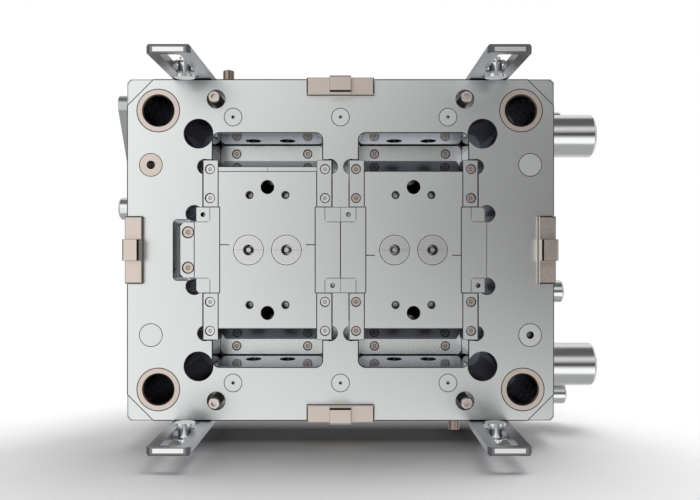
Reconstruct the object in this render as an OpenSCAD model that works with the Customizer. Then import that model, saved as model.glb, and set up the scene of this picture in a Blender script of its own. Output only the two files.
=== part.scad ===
// Moving half of a four-cavity split mould, stood up with its parting face towards -Y.
// X is the mould's width, Z its height and +Y runs into the stack, so the clamp face is at Y = 0.

/* [Plates] */
// Width of every plate but the clamp plate
plate_w = 500; // [480:5:560]
// Height of the plates
plate_h = 400; // [392:2:440]
// Thickness of the plate that carries the splits
split_plate_t = 130; // [110:1:150]
// Thickness of the backing plate
backing_t = 35; // [32:1:50]
// Thickness of the spacer blocks, which is the room for ejection
spacer_t = 100; // [96:1:130]
// Width of one spacer block
spacer_w = 60; // [50:1:62]
// Thickness of the clamp plate
clamp_t = 35; // [32:1:45]
// How far the clamp plate stands out at each side
clamp_lip = 25; // [15:1:35]
// Cut across the upright corners of the split plate
corner_cut = 4; // [2:0.5:6]
// Broken edge round the front and back of the plates
edge_break = 1.5; // [0.5:0.25:2.5]
// Length of the pry step along each edge
pry_leg = 32; // [20:1:34]
// Depth of the pry step
pry_t = 3; // [2:0.5:5]
// Broken edge on the small pieces of the face
piece_break = 0.5; // [0.2:0.1:0.8]
// Bevel round the mouths of the pockets
mouth_break = 1.2; // [0.6:0.2:2]

/* [Guiding] */
// Distance of the guide bushes from the plate's edges
guide_edge = 37; // [36:0.5:40]
// Offset of one bush, so that the halves fit only one way round
guide_offset = 2; // [1:0.5:4]
// Bore of a guide bush
guide_bore = 35; // [30:1:38]
// Bevel at the mouth of a guide bush
guide_mouth = 1.6; // [1:0.1:2]
// Outside of a guide bush
guide_bush_d = 50; // [44:1:51]
// Head of a guide bush at the back of the plate
guide_head_d = 56; // [54:1:58]
// Thickness of that head
guide_head_t = 6; // [4:1:8]
// Bore that clears the other half's guide pillars
relief_bore = 34; // [28:1:36]
// Distance of the relief bores from the middle, across
relief_x = 166; // [165:0.5:168]
// Distance of the relief bores from the middle, up
relief_z = 136; // [135:0.5:138]

/* [Splits] */
// Distance of each station from the middle
station_x = 85.4; // [85:0.2:87]
// Width of a split at its slides
split_w = 115; // [112:0.5:116]
// Width of a split between the side locks
split_nose_w = 111.4; // [108:0.2:111.6]
// Thickness of a split
split_t = 61.5; // [55:0.5:68]
// Back edge of a split at the parting face, from the split line
split_back = 92.3; // [90:0.5:94]
// Slope of the locking face on its back
heel_angle = 16.4; // [14:0.2:17]
// Width of the flat land on the back edge of the upper left split
split_land = 5.2; // [3:0.2:6]
// Width of a tongue that slides under a gib
tongue_w = 6; // [4:0.5:6.5]
// How far the tongue runs on behind the split's back edge
tongue_reach = 7; // [2:0.5:10]
// Thickness of a tongue
tongue_t = 31; // [20:1:36]
// Height of the step in the split line
split_step = 6.2; // [4:0.2:8]
// Width of that step
split_step_w = 10.5; // [8:0.5:12]
// Travel of a split
split_travel = 18; // [14:0.5:19]
// Slope of the angle pin's hole
pin_angle = 14; // [10:1:15]
// Hole for the angle pin
angle_pin_d = 16; // [12:1:18]
// Distance of that hole from the split line
angle_pin_z = 73.6; // [70:0.2:76]
// Small counterbores beside it
lug_hole_d = 7.5; // [6:0.5:9]
// Distance of the counterbores from the station's middle, across
lug_hole_x = 21; // [18:0.5:24]
// Distance of the counterbores from the split line
lug_hole_z = 64.3; // [60:0.2:68]
// Depth of the counterbores
lug_hole_t = 16; // [10:1:24]
// Bevel at the mouths of the counterbores
lug_hole_break = 1.1; // [0.4:0.1:1.4]

/* [Cavities] */
// Distance of each cavity from the station's middle
cavity_x = 22.2; // [20:0.2:24]
// Outside of a neck ring
ring_d = 35; // [30:0.5:38]
// Thickness of a neck ring
ring_t = 25; // [18:1:32]
// Cavity bore
cavity_d = 12.8; // [12.6:0.1:14]
// Core pin
core_pin_d = 6.5; // [5:0.1:7]
// How far the core pin's tip lies behind the parting face
core_pin_set = 1; // [0:0.5:4]
// Outside of an ejector sleeve
sleeve_d = 12; // [10:0.1:12.2]
// How far the sleeve lies behind the parting face
sleeve_set = 35; // [28:1:45]
// Head of a core pin, sleeve or return pin over its own size
pin_head_step = 5; // [4:0.5:6]
// Thickness of those heads
pin_head_t = 6; // [4:0.5:8]

/* [Pockets] */
// Depth of the pockets behind the parting face
pocket_t = 70; // [68.5:0.5:80]
// Room left behind a split that is fully open
travel_spare = 1.8; // [1:0.1:3]
// Slope of the pocket's outer wall
wedge_pocket_angle = 6; // [4:0.2:6]
// Corner radius of the wedge pocket
wedge_pocket_r = 8; // [5:0.5:10]
// Where the wedge pocket meets the gibs
gib_end_z = 105.1; // [102:0.2:106]
// Width of a gib at the parting face
gib_w = 17.5; // [15:0.5:18]
// Gap outside a gib
gib_gap = 1; // [0.6:0.1:1.4]
// Half height of the side locks
side_lock_z = 50.2; // [48:0.2:52]
// Outer face of the outer side locks
side_lock_x = 169; // [168:0.2:170]
// How far their middle stands out past it
side_lock_step = 2; // [1:0.2:3]
// Corner relief beside the gibs
gib_relief_r = 8.7; // [7:0.1:9]
// Corner relief beside the side locks
lock_relief_r = 9.8; // [8:0.1:10.5]
// Diameter of the blind bores in the pocket's outer wall
wall_bore_d = 19; // [14:0.5:21]
// Distance of those bores from the station's middle
wall_bore_x = 20.7; // [18:0.2:24]
// Distance of those bores behind the parting face
wall_bore_y = 40; // [32:1:46]
// Depth of those bores
wall_bore_t = 30; // [15:1:40]

/* [Clamped pieces] */
// Width of a corner key
key_w = 16.5; // [14:0.5:18]
// Height of a corner key
key_h = 17.5; // [15:0.5:19]
// Thickness of a corner key
key_t = 12; // [8:0.5:16]
// Half width of the middle keys
key_mid_w = 18.4; // [16:0.2:22]
// Corner radius of a key
key_r = 3.5; // [2:0.5:5]
// Bevel on the outer corner of two of the keys
key_bevel = 4; // [2:0.5:6]
// Tapped hole in a key
key_hole_d = 5.8; // [4:0.2:7]
// Width of the wedge block
wedge_w = 16.6; // [14:0.2:18]
// Height of the wedge block
wedge_h = 65.4; // [60:0.2:66]
// Depth of the wedge block
wedge_t = 40; // [30:1:50]
// Bevel on the outer corners of the wedge block
wedge_bevel = 5; // [3:0.5:7]
// Outer edge of the pocket that holds the wedge block
wedge_seat_x = 195.7; // [192:0.1:198]
// Half height of that pocket
wedge_seat_z = 35.6; // [34:0.2:37]
// Depth of that pocket
wedge_seat_t = 45; // [42:1:55]
// Corner radius of that pocket
wedge_seat_r = 5; // [3:0.5:7]
// Thickness of a wear plate
wear_t = 8.4; // [6:0.2:12]
// Inner edge of a wear plate, from the split line
wear_z = 16; // [10:1:24]
// Distance of the outer wear plate screws from the split line
wear_screw_z = 119; // [117:0.5:121]
// Distance of the wear plate screws from the station's middle
wear_screw_x = 44; // [38:0.5:50]
// Distance of the gib screws from the split's side
gib_screw_in = 9.6; // [9.2:0.1:11]
// Distance of the first gib screw from the split line
gib_screw_z1 = 60.7; // [58:0.2:64]
// Distance of the second gib screw from the split line
gib_screw_z2 = 94.6; // [90:0.2:96]

/* [Screws] */
// Head of the small screws
small_head_d = 10.5; // [9:0.5:11]
// Height of the small heads
small_head_t = 6; // [5:0.5:7]
// Shank of the small screws
small_shank_d = 6; // [5:0.5:7]
// Head of the larger screws
large_head_d = 13; // [12:0.5:14]
// Height of the larger heads
large_head_t = 8; // [7:0.5:9]
// Shank of the larger screws
large_shank_d = 8; // [6:0.5:9]
// Head of the clamp bolts
clamp_head_d = 24; // [22:1:26]
// Height of the clamp bolt heads
clamp_head_t = 16; // [14:1:18]
// Shank of the clamp bolts
clamp_shank_d = 16; // [14:1:17]

/* [Face pieces] */
// Diameter of a rest button
button_d = 21; // [18:0.5:24]
// Depth of a rest button
button_t = 12; // [8:1:20]
// Hole in a rest button
button_hole_d = 4; // [3:0.5:6]
// Spacing of the rest buttons
button_x = 125.6; // [122:0.2:126]
// Distance of the rest buttons from the plate's edge
button_edge = 44.6; // [42:0.2:46]
// Diameter of a support pad
pad_d = 27; // [24:0.5:30]
// Distance of the pads from the plate's edge
pad_edge = 28.3; // [26:0.1:33]
// Distance of the pads from the middle, up
pad_z = 99.5; // [96:0.5:104]
// Bore of the air bush
air_bore = 10; // [8:0.5:14]
// Tapped hole in one pad
pad_hole_d = 9; // [6:0.5:12]

/* [Interlocks] */
// Length of an interlock's foot
interlock_w = 78; // [70:1:84]
// Width of an interlock
interlock_h = 19; // [16:0.5:20]
// How deep the foot sits in the plate
interlock_seat = 28; // [24:1:34]
// How far the foot stands out of the face
interlock_proud = 9; // [4:0.5:12]
// How far the tongue stands out of the face
tongue_proud = 22; // [16:0.5:28]
// Width of the tongue
tongue_len = 24.5; // [20:0.5:30]
// Gap round an interlock at the front of its seat
interlock_gap = 0.7; // [0.3:0.1:0.9]
// Depth of that gap
interlock_relief_t = 10; // [6:1:16]
// Distance of the interlock screws from its middle
interlock_screw = 26; // [22:1:30]

/* [Ejection] */
// Diameter of a return pin
return_pin_d = 12.8; // [11:0.2:14]
// Distance of the return pins from the middle, across
return_x = 145.4; // [142:0.2:148]
// Distance of the return pins from the plate's edge
return_edge = 23.6; // [23:0.2:26]
// Mouth round a return pin
return_mouth_d = 21; // [18:0.5:23]
// Depth of that mouth
return_mouth_t = 40; // [20:1:60]
// How far the return pins stand out of the parting face
return_proud = 17.5; // [10:0.5:17.5]
// Thickness of the retainer plate
retainer_t = 20; // [18:1:24]
// Thickness of the ejector plate
ejector_t = 25; // [22:1:28]
// Gap between the ejector plates and the spacer blocks
ejector_gap = 4; // [2:0.5:6]
// How far the ejector plates stop short of the mould's top and bottom
ejector_inset = 10; // [4:1:11]
// Height of the stop discs
stop_t = 5; // [4:0.5:8]
// Diameter of the stop discs
stop_d = 25; // [20:1:30]
// Diameter of an ejector guide pin
ejector_pin_d = 20; // [16:1:24]
// Distance of the ejector guide pins from the ejector plate's side
ejector_pin_edge = 28; // [22:1:36]
// Distance of the ejector guide pins from the middle, up
ejector_pin_z = 60; // [50:1:80]
// Wall of an ejector guide bush
ejector_bush_wall = 5; // [3:0.5:6]
// Machine's knock-out bore in the clamp plate
knockout_d = 40; // [30:1:50]
// Tapped hole for a lifting eye
eye_hole_d = 17.5; // [14:0.5:22]
// Depth of the lifting hole
eye_hole_t = 40; // [30:1:60]
// Distance of the lifting hole behind the parting face
eye_y = 91; // [80:1:100]
// Spacing of the stop discs across
stop_x = 100; // [80:1:120]
// Distance of the stop discs from the ejector plate's edge
stop_edge = 40; // [30:1:50]

/* [Limit straps] */
// Distance of a strap from the plate's side
strap_edge = 76.6; // [74:0.2:80]
// Width of a strap
strap_w = 45; // [42:0.5:48]
// Thickness of a strap
strap_t = 9; // [7:0.5:12]
// Reach of a strap in front of the parting face
strap_reach = 134; // [110:1:160]
// Bevel along the edges of a strap
strap_bevel = 2; // [1:0.25:3.5]
// Cut across the front corners of a strap
strap_corner = 4; // [2:0.5:6]
// Width of the slot
slot_w = 21; // [18:0.5:22]
// Corner radius of the slot
slot_r = 4; // [1:0.5:6]
// Wall in front of the slot
slot_end = 9; // [7:0.5:14]
// Where the slot stops in front of the parting face
slot_stop = 10; // [8:1:14]
// Depth of the channel that clears a strap
strap_channel = 1.6; // [1:0.1:3]
// Shank of a limit bolt
limit_shank_d = 14.6; // [12:0.2:17]
// Flange of a limit bolt below the strap
limit_flange_d = 23; // [22:0.5:26]
// Thickness of that flange
limit_flange_t = 3; // [2:0.2:4]
// Underside of that flange below the strap
limit_flange_set = 7.8; // [6:0.2:9]
// Washer of a limit bolt above the strap
limit_washer_d = 25; // [23:0.5:29]
// Thickness of that washer
limit_washer_t = 0.8; // [0.6:0.1:1.5]
// Head of a limit bolt
limit_head_d = 12; // [10:0.5:14]
// Height of that head
limit_head_t = 4.6; // [4:0.2:7]
// Distance of a limit bolt in front of the parting face
limit_rest = 45; // [30:1:70]

/* [Sides] */
// Diameter of a foot
foot_d = 54; // [46:1:56]
// Length of a foot
foot_len = 71; // [60:1:84]
// Distance of the feet from the plate's top and bottom
foot_edge = 54; // [50:1:60]
// Distance of the feet behind the parting face
foot_y = 98; // [92:1:100]
// Diameter of a cooling coupling
coupling_d = 28; // [22:0.5:28]
// Length of the couplings at mid height
coupling_short = 28; // [22:1:34]
// Length of the couplings near the corners
coupling_long = 42; // [34:1:48]
// Distance of the short couplings behind the parting face
coupling_y = 80; // [70:1:88]
// Distance of the short couplings from the middle
coupling_z = 52; // [46:1:60]
// Diameter of an air nipple
nipple_d = 14; // [11:0.5:16]
// Length of an air nipple
nipple_len = 26; // [18:1:34]
// Distance of the nipples from the plate's sides
nipple_edge = 108; // [106:1:112]
// Distance of the nipples behind the parting face
nipple_y = 80; // [70:1:90]
// Distance of the transport strap's bolt from the plate's top
transport_edge = 27.2; // [26:0.2:32]
// Distance of that bolt behind the parting face
transport_y = 30; // [28:1:34]
// Distance between the transport strap's holes
transport_len = 96; // [80:1:98]
// Thickness of the transport strap
transport_t = 14; // [11:0.5:16]
// Radius of the transport strap's big end
transport_r = 12.5; // [11.5:0.5:15]
// Slope of the stowed transport strap away from upright
transport_slope = 33; // [20:1:45]

/* [Fits] */
// Play of a seated round piece in its hole, all round
seat_play = 0.03; // [0.01:0.01:0.1]
// Play of a piece that slides or turns, all round
slide_play = 0.08; // [0.05:0.01:0.1]
// Gap between flat faces that slide
face_play = 0.15; // [0.1:0.05:0.3]
// Clearance round a pin that only passes through a plate
pass_play = 0.4; // [0.3:0.05:0.8]

/* [Hidden] */
$fn = 48;
steel = [0.78, 0.79, 0.79];
dark_steel = [0.45, 0.46, 0.47];
bronze = [0.74, 0.64, 0.58];
bright = [0.86, 0.87, 0.88];

// Depths behind the parting face
backing_y = split_plate_t;
spacer_y = backing_y + backing_t;
clamp_y = spacer_y + spacer_t;
stack_t = clamp_y + clamp_t;
guide_x = plate_w / 2 - guide_edge;
guide_z = plate_h / 2 - guide_edge;
button_z = plate_h / 2 - button_edge;
pad_x = plate_w / 2 - pad_edge;
return_z = plate_h / 2 - return_edge;
strap_x = plate_w / 2 - strap_edge;
transport_z = plate_h / 2 - transport_edge;
foot_z = plate_h / 2 - foot_edge;
nipple_x = plate_w / 2 - nipple_edge;
ejector_half_x = plate_w / 2 - spacer_w - ejector_gap;
ejector_half_z = plate_h / 2 - ejector_inset;
ejector_pin_x = ejector_half_x - ejector_pin_edge;
stop_z = ejector_half_z - stop_edge;
ejector_back_y = clamp_y - stop_t - return_proud;
retainer_back_y = ejector_back_y - ejector_t;
retainer_y = retainer_back_y - retainer_t;
over = 1;
socket_share = 0.5;

// Half sizes of the split and its slides
split_half = split_w / 2;
nose_half = split_nose_w / 2;
gib_in = split_half + face_play;
gib_out = gib_in + gib_w;
gib_screw_x = gib_in + gib_screw_in;
tongue_half = split_half + tongue_w;
channel_half = tongue_half + face_play + 0.35;
tongue_y = split_t - tongue_t;
tongue_end = split_back + tongue_reach;
gib_pocket_half = gib_out + gib_gap;
lock_in = nose_half + face_play;
inner_lock_x = station_x - lock_in;
outer_lock_x = station_x + lock_in;
wedge_wall_deep = split_back + split_t * tan(heel_angle) + split_travel + travel_spare;
wedge_pocket_z = wedge_wall_deep + split_t * tan(wedge_pocket_angle);
wear_edge_z = wedge_pocket_z - pocket_t * tan(wedge_pocket_angle) - 0.4;
key_x = side_lock_x - key_w;
key_z = side_lock_z - key_h;
key_hole_x = side_lock_x - key_w / 2;
key_hole_z = side_lock_z - key_h / 2;
key_mid_hole_x = key_mid_w / 2;
gib_screw_grip = 18;
wear_screw_grip = 14;
land_t = 1.5;

// Moves a piece from depths behind the parting face to the mould's own frame
module in_frame() {
    translate([0, -stack_t, 0]) children();
}

module block(x0, x1, y0, y1, z0, z1) {
    translate([x0, y0, z0]) cube([x1 - x0, y1 - y0, z1 - z0]);
}

// Round bar into the stack, from one depth to another
module rod_y(x, z, y0, y1, r) {
    translate([x, y0, z]) rotate([-90, 0, 0]) cylinder(r = r, h = y1 - y0);
}

// Round bar with its front edge broken
module button(x, z, y0, y1, r, bevel = 0.5) {
    translate([x, y0, z]) rotate([-90, 0, 0]) rotate_extrude()
        polygon([[0, 0], [r - bevel, 0], [r, bevel], [r, y1 - y0], [0, y1 - y0]]);
}

// Extrudes an outline drawn in X and Z between two depths
module along_y(y0, y1) {
    translate([0, y1, 0]) rotate([90, 0, 0]) linear_extrude(y1 - y0) children();
}

// Extrudes an outline drawn in depth and Z between two X positions
module along_x(x0, x1) {
    translate([x0, 0, 0]) rotate([90, 0, 90]) linear_extrude(x1 - x0) children();
}

module round_rect(x0, x1, z0, z1, r) {
    translate([x0 + r, z0]) square([x1 - x0 - 2 * r, z1 - z0]);
    translate([x0, z0 + r]) square([x1 - x0, z1 - z0 - 2 * r]);
    for (x = [x0 + r, x1 - r], z = [z0 + r, z1 - r]) translate([x, z]) circle(r);
}

module at_stations() {
    for (side = [-1, 1]) translate([side * station_x, 0, 0]) children();
}

module four_ways() {
    for (mx = [0, 1], mz = [0, 1]) mirror([mx, 0, 0]) mirror([0, 0, mz]) children();
}

module both_sides() {
    for (mx = [0, 1]) mirror([mx, 0, 0]) children();
}

module up_and_down() {
    for (mz = [0, 1]) mirror([0, 0, mz]) children();
}

// Cuts the long edges of a plate's face away at 45 degrees
module edge_breaks(w, h, y, size) {
    for (side = [-1, 1]) {
        translate([side * w / 2, y, 0]) rotate([0, 0, 45])
            cube([size * sqrt(2), size * sqrt(2), h + 2 * over], center = true);
        translate([0, y, side * h / 2]) rotate([45, 0, 0])
            cube([w + 2 * over, size * sqrt(2), size * sqrt(2)], center = true);
    }
}

// Bar that breaks an upright edge of the parting face
module bar_z(x, z0, z1, size = piece_break) {
    translate([x, 0, (z0 + z1) / 2]) rotate([0, 0, 45])
        cube([size * sqrt(2), size * sqrt(2), z1 - z0], center = true);
}

// Bar that breaks a level edge of the parting face
module bar_x(x0, x1, z, size = piece_break) {
    translate([(x0 + x1) / 2, 0, z]) rotate([45, 0, 0])
        cube([x1 - x0, size * sqrt(2), size * sqrt(2)], center = true);
}

// Breaks the four edges of a rectangle in the parting face
module face_edges(x0, x1, z0, z1, size = piece_break) {
    for (x = [x0, x1]) bar_z(x, z0 - over, z1 + over, size);
    for (z = [z0, z1]) bar_x(x0 - over, x1 + over, z, size);
}

// Bevel round the mouth of a pocket whose corners have radius r
module pocket_mouth(x0, x1, z0, z1, r, size = mouth_break) {
    for (x = [x0 + r, x1 - r], z = [z0 + r, z1 - r]) translate([x, -over, z]) rotate([-90, 0, 0])
        cylinder(r1 = r + size + over, r2 = r, h = size + over);
    along_x(x0 + r, x1 - r)
        polygon([[-over, z0 - size - over], [size, z0], [size, z1], [-over, z1 + size + over]]);
    translate([0, 0, z0 + r]) linear_extrude(z1 - z0 - 2 * r)
        polygon([[x0 - size - over, -over], [x0, size], [x1, size], [x1 + size + over, -over]]);
}

// Blind bore from the parting face with a small bevel at its mouth
module button_cut(x, z, y1, r, size = piece_break) {
    rod_y(x, z, -over, y1, r);
    translate([x, -over, z]) rotate([-90, 0, 0])
        cylinder(r1 = r + size + over, r2 = r, h = size + over);
}

module plain_plate(w, h, y0, y1) {
    difference() {
        block(-w / 2, w / 2, y0, y1, -h / 2, h / 2);
        edge_breaks(w, h, y0, edge_break);
        edge_breaks(w, h, y1, edge_break);
    }
}

// Socket screw whose head starts at depth 0 and whose shank runs into the stack
module socket_screw(head_d, head_t, shank_d, reach) {
    difference() {
        rotate([-90, 0, 0]) rotate_extrude()
            polygon([[0, 0], [head_d / 2 - 0.6, 0], [head_d / 2, 0.6], [head_d / 2, head_t],
                [shank_d / 2, head_t], [shank_d / 2, reach], [0, reach]]);
        translate([0, -over, 0]) rotate([-90, 0, 0])
            cylinder(d = head_d * socket_share, h = over + head_t * 0.55, $fn = 6);
    }
}

// Seat for that screw, from in front of the face
module screw_seat(head_d, head_t, shank_d, reach) {
    button_cut(0, 0, head_t, head_d / 2 + pass_play, 0.3);
    rod_y(0, 0, 0, reach + pass_play, shank_d / 2 + seat_play);
}

// Side, depth, height and length of each coupling
function coupling_rows() = [
    [1, coupling_y, -coupling_z, coupling_short],
    [1, split_plate_t - 8, -plate_h / 2 + coupling_d / 2 - 1, coupling_long],
    [1, backing_y + backing_t / 2, plate_h / 2 - coupling_d - 1, coupling_long],
    [-1, coupling_y, coupling_z, coupling_short]
];

// Pockets of one station's upper half
module station_pocket() {
    intersection() {
        along_y(-over, pocket_t)
            round_rect(-channel_half, channel_half, -side_lock_z, wedge_pocket_z, wedge_pocket_r);
        along_x(-channel_half, channel_half)
            polygon([[-over, -side_lock_z], [-over, wedge_pocket_z], [0, wedge_pocket_z],
                [pocket_t, wedge_pocket_z - pocket_t * tan(wedge_pocket_angle)],
                [pocket_t, -side_lock_z]]);
    }
    block(-gib_pocket_half, gib_pocket_half, -over, pocket_t, -over, gib_end_z + gib_gap);
    pocket_mouth(-channel_half, channel_half, 0, wedge_pocket_z, wedge_pocket_r);
    for (side = [-1, 1])
        button_cut(side * (gib_pocket_half - 3), gib_end_z + gib_gap - gib_relief_r, pocket_t,
            gib_relief_r);
    for (side = [-1, 1])
        translate([side * wall_bore_x, wall_bore_y, wedge_wall_deep - 2])
            cylinder(d = wall_bore_d, h = wall_bore_t);
}

module split_plate() {
    color(steel) in_frame() difference() {
        block(-plate_w / 2, plate_w / 2, 0, split_plate_t, -plate_h / 2, plate_h / 2);
        edge_breaks(plate_w, plate_h, 0, edge_break);
        edge_breaks(plate_w, plate_h, split_plate_t, edge_break);
        four_ways() {
            translate([plate_w / 2, 0, plate_h / 2]) rotate([0, 45, 0])
                cube([corner_cut * sqrt(2), 3 * split_plate_t, corner_cut * sqrt(2)], center = true);
            along_y(-over, pry_t)
                polygon([[plate_w / 2 - pry_leg, plate_h / 2 + over],
                    [plate_w / 2 + over, plate_h / 2 + over],
                    [plate_w / 2 + over, plate_h / 2 - pry_leg]]);
            translate([(plate_w - pry_leg) / 2, 0, (plate_h - pry_leg) / 2]) rotate([0, 45, 0])
                bar_x(-pry_leg, pry_leg, 0);
            button_cut(relief_x, relief_z, split_plate_t + over, relief_bore / 2);
            button_cut(return_x, return_z, return_mouth_t, return_mouth_d / 2);
            rod_y(return_x, return_z, 0, split_plate_t + over, return_pin_d / 2 + pass_play);
            button_cut(side_lock_x + 2, side_lock_z - lock_relief_r + 2, pocket_t, lock_relief_r);
            rod_y(clamp_bolt_x, clamp_bolt_z1, clamp_bolt_tip_y, split_plate_t + over,
                clamp_shank_d / 2 + seat_play);
            rod_y(clamp_bolt_x, clamp_bolt_z2, clamp_bolt_tip_y, split_plate_t + over,
                clamp_shank_d / 2 + seat_play);
            block(strap_x - strap_w / 2 - 0.5, strap_x + strap_w / 2 + 0.5, -over,
                split_plate_t + over, plate_h / 2 - strap_channel, plate_h / 2 + over);
        }
        guide_places() {
            button_cut(0, 0, split_plate_t + over, guide_bush_d / 2 + seat_play);
            rod_y(0, 0, split_plate_t - guide_head_t - seat_play, split_plate_t + over,
                guide_head_d / 2 + seat_play);
        }
        at_stations() up_and_down() station_pocket();
        block(-side_lock_x - face_play, side_lock_x + face_play, -over, pocket_t,
            -side_lock_z - face_play, side_lock_z + face_play);
        block(-side_lock_x - side_lock_step - face_play, side_lock_x + side_lock_step + face_play,
            -over, pocket_t, -key_z - face_play, key_z + face_play);
        along_y(-over, wedge_seat_t)
            round_rect(-wedge_seat_x, -side_lock_x + 10, -wedge_seat_z, wedge_seat_z, wedge_seat_r);
        pocket_mouth(-wedge_seat_x, -side_lock_x + 10, -wedge_seat_z, wedge_seat_z, wedge_seat_r,
            piece_break);
        at_stations() for (side = [-1, 1])
            rod_y(side * cavity_x, 0, pocket_t - over, split_plate_t + over,
                sleeve_d / 2 + pass_play);
        for (x = [-button_x, 0, button_x], z = [-button_z, button_z])
            button_cut(x, z, button_t, button_d / 2 + seat_play, 0.3);
        for (x = [-pad_x, pad_x], z = [-pad_z, pad_z])
            button_cut(x, z, button_t, pad_d / 2 + seat_play, 0.3);
        rod_y(-pad_x, pad_z, 0, 3 * button_t, air_bore / 2);
        rod_y(pad_x, -pad_z, 0, 2 * button_t, pad_hole_d / 2);
        interlock_places() interlock_seat_cut();
        gib_screw_places() rod_y(0, 0, pocket_t - over, pocket_t + gib_screw_grip + 2,
            small_shank_d / 2 + seat_play);
        wear_screw_places() rod_y(0, 0, pocket_t - over, pocket_t + wear_screw_grip + 2,
            small_shank_d / 2 + seat_play);
        wedge_screw_places() rod_y(0, 0, wedge_seat_t - over, wedge_seat_t + 24,
            large_shank_d / 2 + seat_play);
        foot_places() translate([-foot_screw_reach, 0, 0]) rotate([0, 90, 0])
            cylinder(d = foot_screw_d + 2 * seat_play, h = foot_screw_reach + over);
        for (row = coupling_rows()) if (row[1] < split_plate_t) coupling_thread(row);
        for (side = [-1, 1])
            translate([side * nipple_x, nipple_y, -side * (plate_h / 2 - nipple_seat)])
                mirror([0, 0, side > 0 ? 1 : 0])
                    cylinder(d = nipple_d - 4 + 2 * seat_play, h = nipple_seat + over);
        translate([-plate_w / 2, transport_y, transport_z]) rotate([0, 90, 0])
            translate([0, 0, -over])
                cylinder(d = transport_thread_d + 2 * seat_play, h = transport_thread_t + over + pass_play);
        translate([0, eye_y, plate_h / 2 - eye_hole_t])
            cylinder(d = eye_hole_d, h = eye_hole_t + over);
    }
}

// Places of the long bolts that clamp the stack
clamp_bolt_x = plate_w / 2 - spacer_w / 2 + 2;
clamp_bolt_z1 = 115;
clamp_bolt_z2 = 42;
clamp_bolt_tip_y = split_plate_t - 28;

module guide_places() {
    for (side = [-1, 1], level = [-1, 1])
        translate([side * guide_x - (side > 0 && level > 0 ? guide_offset : 0), 0, level * guide_z])
            children();
}

module guide_bushes() {
    color(bronze) in_frame() guide_places() rotate([-90, 0, 0]) rotate_extrude()
        polygon([[guide_bore / 2 + guide_mouth, 0], [guide_bush_d / 2 - piece_break, 0],
            [guide_bush_d / 2, piece_break], [guide_bush_d / 2, split_plate_t - guide_head_t],
            [guide_head_d / 2, split_plate_t - guide_head_t], [guide_head_d / 2, split_plate_t],
            [guide_bore / 2, split_plate_t], [guide_bore / 2, guide_mouth]]);
}

module backing_plate() {
    color(steel) in_frame() difference() {
        plain_plate(plate_w, plate_h, backing_y, spacer_y);
        four_ways() {
            rod_y(return_x, return_z, backing_y - over, spacer_y + over,
                return_pin_d / 2 + pass_play);
            rod_y(ejector_pin_x, ejector_pin_z, spacer_y - 20, spacer_y + over,
                ejector_pin_d / 2 + seat_play);
            for (z = [clamp_bolt_z1, clamp_bolt_z2])
                rod_y(clamp_bolt_x, z, backing_y - over, spacer_y + over,
                    clamp_shank_d / 2 + pass_play);
        }
        at_stations() for (side = [-1, 1])
            rod_y(side * cavity_x, 0, backing_y - over, spacer_y + over, sleeve_d / 2 + pass_play);
        strap_screw_places() translate([0, 0, -strap_screw_grip])
            cylinder(d = large_shank_d + 2 * seat_play, h = strap_screw_grip + over);
        for (row = coupling_rows()) if (row[1] > split_plate_t) coupling_thread(row);
    }
}

module spacer_block(side) {
    color(steel) in_frame() difference() {
        translate([side * (plate_w - spacer_w) / 2, 0, 0])
            plain_plate(spacer_w, plate_h, spacer_y, clamp_y);
        for (z = [-clamp_bolt_z1, -clamp_bolt_z2, clamp_bolt_z2, clamp_bolt_z1])
            rod_y(side * clamp_bolt_x, z, spacer_y - over, clamp_y + over,
                clamp_shank_d / 2 + pass_play);
    }
}

module spacer_block_left() {
    spacer_block(-1);
}

module spacer_block_right() {
    spacer_block(1);
}

module clamp_plate() {
    color(steel) in_frame() difference() {
        plain_plate(plate_w + 2 * clamp_lip, plate_h, clamp_y, stack_t);
        rod_y(0, 0, clamp_y - over, stack_t + over, knockout_d / 2);
        four_ways() {
            for (z = [clamp_bolt_z1, clamp_bolt_z2]) {
                rod_y(clamp_bolt_x, z, clamp_y - over, stack_t + over,
                    clamp_shank_d / 2 + pass_play);
                rod_y(clamp_bolt_x, z, stack_t - clamp_head_t - over, stack_t + over,
                    clamp_head_d / 2 + 1);
            }
            rod_y(ejector_pin_x, ejector_pin_z, clamp_y - over, clamp_y + 20,
                ejector_pin_d / 2 + seat_play);
        }
        at_stations() for (side = [-1, 1]) {
            rod_y(side * cavity_x, 0, clamp_y - over, stack_t + over, core_pin_d / 2 + seat_play);
            rod_y(side * cavity_x, 0, stack_t - pin_head_t - over, stack_t + over,
                (core_pin_d + pin_head_step) / 2 + seat_play);
        }
    }
}

ejector_bolt_x = 120;
ejector_bolt_z = 120;

module retainer_plate() {
    color(steel) in_frame() difference() {
        plain_plate(2 * ejector_half_x, 2 * ejector_half_z, retainer_y, retainer_back_y);
        four_ways() {
            rod_y(return_x, return_z, retainer_y - over, retainer_back_y + over,
                return_pin_d / 2 + seat_play);
            rod_y(return_x, return_z, retainer_back_y - pin_head_t, retainer_back_y + over,
                (return_pin_d + pin_head_step) / 2 + seat_play);
            rod_y(ejector_pin_x, ejector_pin_z, retainer_y - over, retainer_back_y + over,
                ejector_pin_d / 2 + ejector_bush_wall + seat_play);
            rod_y(ejector_bolt_x, ejector_bolt_z, retainer_back_y - 12, retainer_back_y + over,
                large_shank_d / 2 + seat_play);
        }
        at_stations() for (side = [-1, 1]) {
            rod_y(side * cavity_x, 0, retainer_y - over, retainer_back_y + over,
                sleeve_d / 2 + seat_play);
            rod_y(side * cavity_x, 0, retainer_back_y - pin_head_t, retainer_back_y + over,
                (sleeve_d + pin_head_step) / 2 + seat_play);
        }
    }
}

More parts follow.
